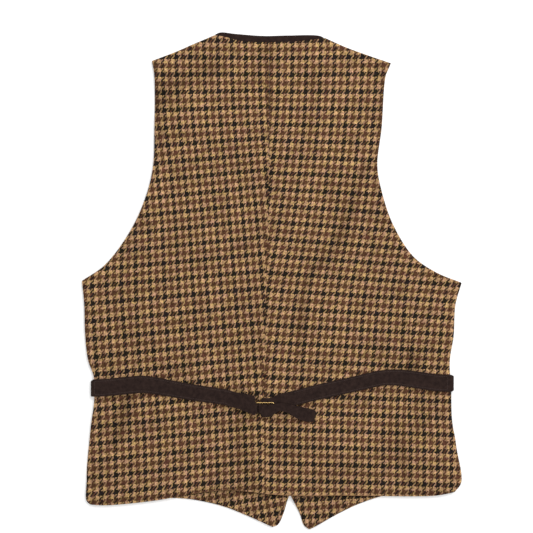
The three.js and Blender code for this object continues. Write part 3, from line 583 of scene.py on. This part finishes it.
def back_panel(hand, side, armhole, shoulder, neckline, hem, finish):
    inset = -SEWN_GAP if hand == "left" else SEWN_GAP
    dart = DARTS[hand]
    edges = (
        Edge((*hem[:-1], (hem[-1][0] + inset, hem[-1][1]))),
        Edge(shoulder, (*neckline[:-1], (neckline[-1][0] + inset, neckline[-1][1])), NECK_POINT),
        Edge(side, armhole, UNDERARM),
        Edge([(x + inset, y) for x, y in CENTRE_BACK]),
    )
    u, v, dart_column = lay_column_on(dart, edges, COLUMNS, ROWS)
    place = plan_of(*edges, u, v)
    beside = place[..., 0] - dart_x(dart, place[..., 1])
    groove = np.exp(-np.abs(beside) / DART_GROOVE["breadth"]) * dart_share(dart, place[..., 1]) ** 0.5
    inside = ease(distance_to(SEAM_LINE, place) / FLAT_AT_SEAM)
    # Painted shade along the creases, and a painted highlight along the hem's edge, go to the shade attribute
    depth, shade = creases(place)
    shade = shade + hem_line(place, HEM_EDGE_HIGHLIGHT)
    height = back_face(place) - DART_GROOVE["depth"] * groove + (unevenness(place) - depth) * inside
    points = np.concatenate([place, height[..., None]], -1)

    def grain(corner, face_column):
        return back_grain(hand, corner[:, :2], face_column < dart_column)

    mesh = grid_mesh(f"back_{hand}", points, grain, True, shade)
    made = piece(f"back_{hand}_tweed", mesh, finish, f"back_{hand}")
    give_wall(made, TWEED, ROUNDED["tweed"])
    return made


def front_panel(hand, side, armhole, shoulder, hem, edge, neck, face, finish):
    edges = (
        Edge(hem),
        Edge((*shoulder[:-1], neck[-1])),
        Edge((hem[0], *side[2:]), armhole, UNDERARM),
        Edge(edge, neck, FRONT_BREAK),
    )
    u, v = np.meshgrid(np.linspace(0, 1, COLUMNS + 1), np.linspace(0, 1, ROWS + 1))
    place = plan_of(*edges, u, v)
    points = np.concatenate([place, face(place)[..., None]], -1)

    def grain(corner, face_column):
        return straight_grain(corner[:, :2])

    mesh = grid_mesh(f"front_{hand}", points, grain, False)
    made = piece(f"front_{hand}_tweed", mesh, finish, f"front_{hand}")
    give_wall(made, TWEED, ROUNDED["tweed"])
    return made


FACING_GRID = {"columns": 90, "rows": 60}
# Painted shade that darkens the whole facing a little
FACING_SHADE = 0.06
FACING_INSET = 1.2


def facing_panel(hand, hem, edge, top, face, finish):
    foot = Line([(x, y + FACING_INSET) for x, y in hem[2:]])
    upper, tip = Line(top), Line(edge[:4])
    u = np.linspace(0, 1, FACING_GRID["columns"] + 1)
    rows = []
    for v in np.linspace(0, 1, FACING_GRID["rows"] + 1):
        low, high = foot.at(u), upper.at(u)
        shift = tip.at(v) - (low[-1] * (1 - v) + high[-1] * v)
        shift[0] += (FACING_INSET if hand == "right" else -FACING_INSET) * (1 - v * 0.5)
        rows.append(low * (1 - v) + high * v + shift * u[:, None] ** 6)
    place = np.array(rows)
    height = face(place) + TWEED + SEAM_GAP * 2 + FACING
    points = np.concatenate([place, height[..., None]], -1)

    def grain(corner, face_column):
        return straight_grain(corner[:, :2], **FACING_GRAIN[hand])

    # Painted shade on the facing: a little all over, and more under the back's hem
    mesh = grid_mesh(f"facing_{hand}", points, grain, True, FACING_SHADE + hem_line(place, UNDER_HEM_SHADE))
    made = piece(f"facing_{hand}_tweed", mesh, finish, f"facing_{hand}")
    give_wall(made, FACING, ROUNDED["facing"])
    return made


# Straps
BUCKLE_LIES = float(back_face(np.array([BUCKLE["x"] + BUCKLE["width"] / 2, BUCKLE["y"]]), False)) + STRAP_GAP
LOW_RUN = BUCKLE_LIES + SUEDE
BAR_LOW = LOW_RUN + SEAM_GAP
HIGH_RUN = BAR_LOW + BUCKLE["wire"] + SEAM_GAP
OVER_TOP = HIGH_RUN + SUEDE
SLOT = BUCKLE["height"] - 2 * BUCKLE["wire"] - BUCKLE["ease"]


def on_back(run, spacing):
    """Stations along a run at the height that a strap needs to lie on the back."""
    line = Line(run)
    count = max(4, round(line.run[-1] / spacing))
    stations = []
    for share in np.linspace(0, 1, count + 1):
        x, y, width = line.at(share)
        ahead, behind = line.at(share + 0.01)[:2], line.at(share - 0.01)[:2]
        heading = (ahead - behind) / np.linalg.norm(ahead - behind)
        across = np.array([-heading[1], heading[0]])
        under = np.array([(x, y) + across * part * width for part in (-0.5, -0.25, 0, 0.25, 0.5)])
        stations.append((x, y, back_face(under, False).max() + STRAP_GAP, width, *heading))
    return stations


def over_side(first, end):
    """The strap's outer end, from its cut edge up over the side seam to the first station of its run."""
    top, full = first[2:4]
    radius, sign = STRAP_END["radius"], end["sign"]
    outer = end["x"] - sign * (STRAP_END["overhang"] - SUEDE)

    def station(reach, z):
        share = float(np.clip(1 - reach / STRAP_END["slope"], 0, 1))
        y, width = end["y"] + end["shift"] * share, full - end["cut"] * share
        return (outer + sign * reach, y, z, width, sign, 0)

    stations = []
    for share in np.linspace(0, 1, STRAP_END["steps"] + 1):
        angle = share * math.pi / 2 * (1 - STRAP_END["tilt"])
        reach = radius * (1 - math.sin(angle + math.pi / 2 * STRAP_END["tilt"]))
        stations.append(station(reach, top - radius + radius * math.cos(angle)))
    low = max(STRAP_END["lowest"], stations[-1][2] - STRAP_END["drop"])
    return [station(0, low), *stations[::-1]]


def round_bar(x, start, end, heading, sign):
    """A strap's half turn round an upright bar."""
    middle, reach = (start + end) / 2, abs(end - start) / 2
    stations = []
    for angle in np.linspace(0, math.pi, 9):
        out = x + sign * reach * math.sin(angle)
        height = middle + (start - end) / 2 * math.cos(angle)
        stations.append((out, BUCKLE["y"], height, SLOT, heading, 0))
    return stations


def left_strap_stations():
    run = on_back(LEFT_STRAP_RUN, SPACING["run"])
    levels = {"back": run[-1][2], "low": LOW_RUN, "high": HIGH_RUN}
    slants = [CLIMB_HEADING] * (len(LEFT_CLIMB) - 1) + [(1, 0)]
    climb = [
        (x, y, levels[level] + lift, width, *slant)
        for (x, y, width, level, lift), slant in zip(LEFT_CLIMB, slants)
    ]
    turn = round_bar(BUCKLE["x"] - (BUCKLE["width"] - BUCKLE["wire"]) / 2, HIGH_RUN, LOW_RUN, 1, 1)
    under = [(x, y, LOW_RUN, SLOT, 1, 0) for x, y in LEFT_UNDER]
    return [*over_side(run[0], LEFT_END), *run, *climb, *turn, *under]


def right_strap_stations():
    run = on_back(RIGHT_STRAP_RUN, SPACING["run"])
    entry = [(x, y, BUCKLE_LIES, width, -1, 0) for x, y, width in RIGHT_ENTRY]
    turn = round_bar(BUCKLE["x"] + BUCKLE["bar"], BUCKLE_LIES, OVER_TOP, -1, -1)
    over = [(x, y, OVER_TOP + lift, width, -1, 0) for x, y, width, lift in RIGHT_OVER]
    tail = []
    for i, (x, y, z, width, *heading) in enumerate(on_back(TAIL_RUN, SPACING["tail"])):
        fall = float(ease(1 - i / TAIL_FALL["stations"]))
        lies = z + SUEDE
        height = max(lies, lies * (1 - fall) + (OVER_TOP - TAIL_FALL["drop"]) * fall)
        tail.append((x, y, height, width, -heading[0], -heading[1]))
    return [*over_side(run[0], RIGHT_END), *run, *entry, *turn, *over, *tail]


STRAP_COLUMNS = 14
STRAP_STEP = 0.4
STITCH = {"pitch": 3.3, "radius": 0.27, "dip": 0.5, "stand": 0.08, "sides": 8, "steps": 6}


class Strap:
    """A strap's outer face: its middle line with its width and heading, and the way up from it."""

    def __init__(self, stations):
        self.line = Line(stations)
        self.length = self.line.run[-1]

    def face(self, share, part, lift):
        """Places at shares of the length and parts of the width, lifted off the strap's underside."""
        share, part = np.broadcast_arrays(share, part)
        here = self.line.at(share)
        hop = 0.6 / self.length
        ahead = self.line.at(share + hop)[..., :3] - self.line.at(share - hop)[..., :3]
        ahead /= np.linalg.norm(ahead, axis=-1, keepdims=True)
        heading = here[..., 4:6] / np.linalg.norm(here[..., 4:6], axis=-1, keepdims=True)
        across = np.stack([-heading[..., 1], heading[..., 0], np.zeros(heading.shape[:-1])], -1)
        up = np.cross(ahead, across)
        up /= np.linalg.norm(up, axis=-1, keepdims=True)
        place = here[..., :3] + across * (part * here[..., 3])[..., None]
        return place + up * np.asarray(lift)[..., None], ahead, across, up


def strap_piece(name, stations, finish, node):
    strap = Strap(stations)
    rows = round(strap.length / STRAP_STEP)
    share, part = np.meshgrid(
        np.linspace(0, 1, rows + 1), np.linspace(-0.5, 0.5, STRAP_COLUMNS + 1), indexing="ij",
    )
    points, *_ = strap.face(share, part, np.full(share.shape, SUEDE))

    def grain(corner, face_column):
        return corner[:, :2] / STRAP_WIDTH

    made = piece(name, grid_mesh(name, points, grain, True), finish, node)
    give_wall(made, SUEDE, ROUNDED["suede"])
    return made, strap


def sweep(name, path, radius, sides):
    """A round thread along a path of places, tapered to nothing at its ends."""
    run = np.gradient(path, axis=0)
    run /= np.linalg.norm(run, axis=1, keepdims=True)
    across = np.cross(run, (0, 0, 1.0))
    across /= np.linalg.norm(across, axis=1, keepdims=True)
    up = np.cross(across, run)
    size = np.full(len(path), radius)
    size[[0, -1]] = 0
    turn = np.linspace(0, 2 * math.pi, sides + 1)
    rings = across[:, None] * np.cos(turn)[:, None] + up[:, None] * np.sin(turn)[:, None]
    points = path[:, None] + rings * size[:, None, None]

    def no_grain(corner, face_column):
        return corner[:, :2]

    mesh = grid_mesh(name, points, no_grain, True)
    bm = bmesh.new()
    bm.from_mesh(mesh)
    bmesh.ops.remove_doubles(bm, verts=bm.verts, dist=1e-7)
    bmesh.ops.recalc_face_normals(bm, faces=bm.faces)
    bm.to_mesh(mesh)
    bm.free()
    return mesh


def running_stitch(name, strap, start, end, finish):
    """Stitches along a strap's face between two places on it, each a share of its length and width."""
    (share_from, part_from), (share_to, part_to) = start, end
    along = np.array([share_to - share_from, part_to - part_from]) * (strap.length, STRAP_WIDTH)
    stitches = max(2, round(np.linalg.norm(along) / STITCH["pitch"]))
    step = np.linspace(0, 1, stitches * STITCH["steps"] + 1)
    wave = 0.5 - 0.5 * np.cos(step * stitches * 2 * math.pi)
    lift = SUEDE + STITCH["stand"] - STITCH["dip"] * (1 - wave**0.4)
    share = share_from + (share_to - share_from) * step
    part = part_from + (part_to - part_from) * step
    path, *_ = strap.face(share, part, lift)
    return piece(name, sweep(name, path, STITCH["radius"], STITCH["sides"]), finish)


def strap_stitches(hand, strap, sewn, finish):
    """A line of stitches down both edges of a strap, and one across it near its outer end."""
    near, far = (length / strap.length for length in (sewn["from"], sewn["to"]))
    inset = 0.5 - sewn["inset"] / STRAP_WIDTH
    lines = {
        "upper": ((near, inset), (far, inset)),
        "lower": ((near, -inset), (far, -inset)),
        "end": ((near, inset), (near, -inset)),
    }
    return [
        running_stitch(f"strap_{hand}_{side}_stitches", strap, start, end, finish)
        for side, (start, end) in lines.items()
    ]


def neck_band(finish):
    top, foot = Line(BAND_TOP), Line(BAND_FOOT)
    u, v = np.meshgrid(np.linspace(0, 1, BAND_GRID["columns"] + 1), np.linspace(0, 1, BAND_GRID["rows"] + 1))
    place = foot.at(u) * (1 - v[..., None]) + top.at(u) * v[..., None]
    height = np.full(u.shape, FLOOR_GAP + NECK_BAND)
    points = np.concatenate([place, height[..., None]], -1)

    def grain(corner, face_column):
        return corner[:, :2] / STRAP_WIDTH

    made = piece("neck_band_suede", grid_mesh("neck_band", points, grain, True), finish, "neck_band")
    give_wall(made, NECK_BAND, ROUNDED["band"])
    return made


# Materials
class Value:
    """A socket of a finish's nodes that can take part in a sum."""

    def __init__(self, finish, socket):
        self.finish = finish
        self.socket = socket

    def math(self, operation, *others):
        return self.finish.node("Math", {"operation": operation}, dict(enumerate((self, *others))))

    def __add__(self, other):
        return self.math("ADD", other)

    def __radd__(self, other):
        return self.math("ADD", other)

    def __mul__(self, other):
        return self.math("MULTIPLY", other)

    def __rmul__(self, other):
        return self.math("MULTIPLY", other)

    def __sub__(self, other):
        return self.math("SUBTRACT", other)

    def __rsub__(self, other):
        return self.finish.node("Math", {"operation": "SUBTRACT"}, {0: other, 1: self})

    def __truediv__(self, other):
        return self.math("DIVIDE", other)

    def __mod__(self, other):
        return self.math("FLOORED_MODULO", other)

    def __lt__(self, other):
        return self.math("LESS_THAN", other)

    def __pow__(self, other):
        return self.math("POWER", other)

    def floor(self):
        return self.math("FLOOR")

    def abs(self):
        return self.math("ABSOLUTE")

    def sine(self):
        return self.math("SINE")


class Finish:
    """A material, made of nodes from one method."""

    def __init__(self, name):
        self.material = bpy.data.materials.new(name)
        self.material.use_nodes = True
        self.tree = self.material.node_tree
        self.tree.nodes.clear()

    def node(self, kind, settings=None, values=None, out=0):
        made = self.tree.nodes.new("ShaderNode" + kind)
        for key, value in (settings or {}).items():
            setattr(made, key, value)
        for key, value in (values or {}).items():
            if isinstance(value, Value):
                self.tree.links.new(value.socket, made.inputs[key])
            else:
                made.inputs[key].default_value = value
        return Value(self, made.outputs[out]) if made.outputs else None

    def place(self):
        return self.node("TexCoord", out="Object")

    def parts(self, vector):
        return [self.node("SeparateXYZ", values={0: vector}, out=k) for k in range(3)]

    def join(self, x, y, z=0.0):
        return self.node("CombineXYZ", values={0: x, 1: y, 2: z})

    def noise(self, vector, scale, detail=2.0, rough=0.5, out="Fac"):
        values = {"Vector": vector, "Scale": scale, "Detail": detail, "Roughness": rough}
        return self.node("TexNoise", values=values, out=out)

    def mix(self, factor, low, high):
        """A colour from low to high."""
        values = {0: factor, 6: low, 7: high}
        return self.node("Mix", {"data_type": "RGBA"}, values, out=2)

    def range(self, value, start, end, low=0.0, high=1.0):
        """value taken from start..end to low..high and held there."""
        return self.node("MapRange", values={0: value, 1: start, 2: end, 3: low, 4: high})

    def bump(self, height, strength, distance):
        return self.node("Bump", values={"Strength": strength, "Distance": distance * MM, "Height": height})

    def shade(self, **values):
        names = {key.replace("_", " "): value for key, value in values.items()}
        shader = self.node("BsdfPrincipled", values=names)
        self.node("OutputMaterial", values={"Surface": shader})
        return self.material


def tone(red, green, blue):
    """A colour read on a screen, as light."""
    light = [
        part / 255 / 12.92 if part < 11 else ((part / 255 + 0.055) / 1.055) ** 2.4
        for part in (red, green, blue)
    ]
    return (*light, 1.0)


THREADS = 16
BAND = 4
TWILL = {"over": 2, "repeat": 4, "start": 1}
YARN = {
    "camel": ((tone(231, 190, 124), tone(156, 126, 81)), (tone(229, 177, 141), tone(156, 119, 95))),
    "ink": ((tone(33, 29, 18), tone(44, 39, 25)), (tone(32, 25, 27), tone(46, 37, 37))),
    "brown": ((tone(76, 54, 34), tone(98, 70, 44)), (tone(82, 50, 40), tone(102, 64, 50))),
}
# Painted shade in the weave's hollows, and lightness that differs at random in small mottles and broad clouds
PAINTED_HOLLOWS_AND_MOTTLE = {"hollow": (0.34, 1.0), "mottle": (0.52, 1.26), "cloud": (0.88, 1.12)}
# Painted highlight: the pale tan that the back's hem edge goes towards
HEM_HIGHLIGHT_TONE = tone(142, 106, 76)
SWOLLEN = 0.12
SWAY = {"scale": 120, "threads": 1.7}
DULLED = 0.34


def tweed_finish():
    """A 2/2 twill of thick woollen yarn, in bands of four threads: camel, ink, camel and brown."""
    cloth = Finish("gun_club_tweed")
    place = cloth.place()
    u, v, _ = cloth.parts(cloth.node("UVMap", {"uv_map": GRAIN_MAP}))
    sway_u, sway_v, _ = cloth.parts(cloth.noise(place, SWAY["scale"], 3.0, 0.6, out="Color"))

    def swollen(checks):
        """The dark bands' threads lie a little wider than the camel ones."""
        return checks - (checks * (4 * math.pi)).sine() * (SWOLLEN / (4 * math.pi))

    warp = swollen(u) * THREADS + (sway_u - 0.5) * SWAY["threads"]
    weft = swollen(v) * THREADS + (sway_v - 0.5) * SWAY["threads"]
    warp_thread, weft_thread = warp.floor(), weft.floor()
    turn = (warp_thread + weft_thread + TWILL["start"]) % TWILL["repeat"]
    over = turn < TWILL["over"] - 0.5

    def band(thread):
        return ((thread + BAND / 2) / BAND).floor() % BAND

    warp_band, weft_band = band(warp_thread), band(weft_thread)
    shown = weft_band + over * (warp_band - weft_band)
    beneath = warp_band + weft_band - shown
    ink = shown < 0.5
    brown = (shown - 2).abs() < 0.5
    dulled = 1 - (shown % 2) * (1 - beneath % 2) * DULLED

    warp_along = cloth.join(warp_thread * 3.7, weft * 0.35, 4.0)
    weft_along = cloth.join(warp * 0.35, weft_thread * 3.7, 9.0)
    along = cloth.node("Mix", {"data_type": "VECTOR"}, {0: over, 4: weft_along, 5: warp_along}, out=1)
    slub = cloth.noise(along, 1.0, 3.0, 0.6)
    fleck = cloth.noise(place, 1500.0, 2.0, 0.6)
    mottle = cloth.noise(place, 420.0, 2.0, 0.6)
    heather = cloth.range(cloth.noise(place, 240.0, 2.0, 0.6), 0.36, 0.64)

    def yarn(name):
        yellow, pink = (cloth.mix(cloth.range(slub, 0.3, 0.7), *tones) for tones in YARN[name])
        return cloth.mix(heather, yellow, pink)

    colour = cloth.mix(ink, cloth.mix(brown, yarn("camel"), yarn("brown")), yarn("ink"))

    across = over * (warp - warp_thread - (weft - weft_thread)) + (weft - weft_thread)
    round_yarn = 1 - (across * 2 - 1) ** 2
    warp_float = (warp_thread + weft + TWILL["start"]) % TWILL["repeat"]
    weft_float = (warp + weft_thread + TWILL["start"]) % TWILL["repeat"] - TWILL["over"]
    rise = ((over * (warp_float - weft_float) + weft_float) * (math.pi / 2)).sine()
    height = round_yarn * 0.5 + rise * 0.4 + slub * 0.3 + fleck * 0.35
    # Painted shade: the lower the yarn's relief, the darker its colour
    depth = cloth.range(height, 0.2, 1.1, *PAINTED_HOLLOWS_AND_MOTTLE["hollow"])
    # Lightness that differs at random, in small mottles and broad clouds
    cloud = cloth.range(cloth.noise(place, 30.0, 2.0), 0.3, 0.7, *PAINTED_HOLLOWS_AND_MOTTLE["cloud"])
    lightness = cloth.range(mottle, 0.3, 0.7, *PAINTED_HOLLOWS_AND_MOTTLE["mottle"]) * cloud
    # Painted shade from the creases, the hem and the facings darkens the colour, read from the shade
    # attribute
    shade = cloth.node("Attribute", {"attribute_name": SHADE}, out=2)
    light = depth * lightness * dulled * (1 - cloth.range(shade, 0, 1))
    shaded = cloth.node("VectorMath", {"operation": "SCALE"}, {0: colour, "Scale": light})
    # Painted highlight along the back's hem edge: the colour goes towards a pale tan
    shaded = cloth.mix(cloth.range(shade, 0, HEM_EDGE_HIGHLIGHT["shade"], 0, 0.75), shaded, HEM_HIGHLIGHT_TONE)
    return cloth.shade(
        Base_Color=shaded,
        Roughness=0.95,
        Specular_IOR_Level=0.05,
        Normal=cloth.bump(height, 0.5, 0.5),
    )


def suede_finish():
    hide = Finish("dark_brown_suede")
    place = hide.place()
    nap = hide.noise(place, 220.0, 3.0, 0.6)
    grit = hide.noise(place, 2600.0, 2.0, 0.7)
    colour = hide.mix(hide.range(nap + grit * 0.4, 0.5, 0.95), tone(33, 23, 21), tone(50, 37, 33))
    return hide.shade(
        Base_Color=colour,
        Roughness=0.92,
        Specular_IOR_Level=0.08,
        Normal=hide.bump(nap * 0.5 + grit, 0.4, 0.25),
    )


def thread_finish():
    waxed = Finish("dark_waxed_thread")
    ply = waxed.noise(waxed.place(), 1800.0, 2.0)
    colour = waxed.mix(ply, tone(46, 34, 32), tone(72, 58, 54))
    return waxed.shade(Base_Color=colour, Roughness=0.7, Specular_IOR_Level=0.2)


# The brass keeps its bright colour on the buckle's top rail, and below the rail, where the straps cover the
# frame, it is painted dark as painted shade
SHADE_BELOW_RAIL = (-159.2, -158.4)


def brass_finish():
    metal = Finish("dull_brass")
    place = metal.place()
    cloud = metal.noise(place, 700.0, 3.0, 0.6)
    lightness = metal.range(metal.parts(place)[1], *(level * MM for level in SHADE_BELOW_RAIL))
    colour = metal.mix(metal.range(cloud, 0.35, 0.65), tone(190, 158, 100), tone(214, 182, 122))
    # Painted shade: below the top rail the brass goes dark
    colour = metal.mix(lightness, tone(52, 42, 30), colour)
    return metal.shade(
        Base_Color=colour,
        Metallic=1.0,
        Roughness=metal.range(cloud, 0.3, 0.7, 0.36, 0.5),
        Normal=metal.bump(cloud, 0.1, 0.05),
    )


def horn_finish():
    horn = Finish("dark_horn")
    place = horn.place()
    cloud = horn.noise(place, 160.0, 4.0, 0.6)
    streak = horn.node("TexWave", {"bands_direction": "X"}, {
        "Vector": place, "Scale": 140.0, "Distortion": 6.0, "Detail": 2.0,
    })
    colour = horn.mix(horn.range(cloud + streak * 0.3, 0.4, 0.9), tone(30, 20, 16), tone(84, 56, 38))
    return horn.shade(
        Base_Color=colour, Roughness=0.3, Coat_Weight=0.3, Normal=horn.bump(streak, 0.1, 0.05),
    )


def floor_finish():
    ground = Finish("pale_floor")
    mottle = ground.noise(ground.place(), 3.0, 2.0)
    colour = ground.mix(mottle, (0.9, 0.9, 0.9, 1), (0.92, 0.92, 0.92, 1))
    return ground.shade(
        Base_Color=colour,
        Roughness=0.9,
        Specular_IOR_Level=0.0,
        Emission_Color=(1, 1, 1, 1),
        Emission_Strength=FLOOR["glow"],
    )


# The view, the light and the floor
def set_view():
    lens = bpy.data.cameras.new("view")
    lens.sensor_width = 36
    lens.lens = lens.sensor_width * VIEW["height"] / VIEW["width"]
    lens.clip_end = 20
    camera = bpy.data.objects.new("view", lens)
    camera.location = Vector((VIEW["x"], VIEW["y"], VIEW["height"] + VIEW["plane"])) * MM
    bpy.context.scene.collection.objects.link(camera)
    bpy.context.scene.camera = camera


def set_light():
    scene = bpy.context.scene
    scene.view_settings.view_transform = "Standard"
    world = bpy.data.worlds.new("studio")
    world.use_nodes = True
    world.node_tree.nodes["Background"].inputs[0].default_value = (1, 1, 1, 1)
    world.node_tree.nodes["Background"].inputs[1].default_value = DAYLIGHT
    scene.world = world
    lamp = bpy.data.lights.new("softbox", "AREA")
    lamp.shape = "RECTANGLE"
    lamp.size, lamp.size_y = SOFTBOX["size"]
    lamp.energy = SOFTBOX["power"]
    softbox = bpy.data.objects.new("softbox", lamp)
    softbox.location = SOFTBOX["place"]
    softbox.rotation_euler = (-softbox.location).to_track_quat("-Z", "Y").to_euler()
    scene.collection.objects.link(softbox)


def lay_floor():
    bm = bmesh.new()
    bmesh.ops.create_grid(bm, x_segments=1, y_segments=1, size=FLOOR["reach"])
    mesh = bpy.data.meshes.new("floor")
    bm.to_mesh(mesh)
    bm.free()
    floor = bpy.data.objects.new("floor", mesh)
    floor.data.materials.append(floor_finish())
    bpy.context.scene.collection.objects.link(floor)


# The waistcoat
set_view()
set_light()
lay_floor()

tweed = tweed_finish()
suede = suede_finish()
thread = thread_finish()
brass = brass_finish()
horn = horn_finish()

back_left = back_panel("left", SIDE_LEFT, ARMHOLE_LEFT, SHOULDER_LEFT, NECKLINE_LEFT, HEM_LEFT, tweed)
back_right = back_panel("right", SIDE_RIGHT, ARMHOLE_RIGHT, SHOULDER_RIGHT, NECKLINE_RIGHT, HEM_RIGHT, tweed)
front_left = front_panel(
    "left", SIDE_LEFT, FRONT_ARMHOLE_LEFT, SHOULDER_LEFT, FRONT_HEM_LEFT, FRONT_EDGE_LEFT, FRONT_NECK_LEFT,
    left_front_face, tweed,
)
front_right = front_panel(
    "right", SIDE_RIGHT, FRONT_ARMHOLE_RIGHT, SHOULDER_RIGHT, FRONT_HEM_RIGHT, FRONT_EDGE_RIGHT,
    FRONT_NECK_RIGHT, right_front_face, tweed,
)
facing_left = facing_panel(
    "left", FRONT_HEM_LEFT, FRONT_EDGE_LEFT, FACING_TOP_LEFT, left_front_face, tweed,
)
facing_right = facing_panel(
    "right", FRONT_HEM_RIGHT, FRONT_EDGE_RIGHT, FACING_TOP_RIGHT, right_front_face, tweed,
)
band = neck_band(suede)
strap_left, left_face = strap_piece("strap_left_suede", left_strap_stations(), suede, "strap_left")
strap_right, right_face = strap_piece("strap_right_suede", right_strap_stations(), suede, "strap_right")
left_stitches = strap_stitches("left", left_face, LEFT_SEWN, thread)
right_stitches = strap_stitches("right", right_face, RIGHT_SEWN, thread)

for node, finish in (("buckle", brass), *((f"button_{i}", horn) for i in range(1, 6))):
    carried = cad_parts[node]
    carried.data.materials.clear()
    carried.data.materials.append(finish)
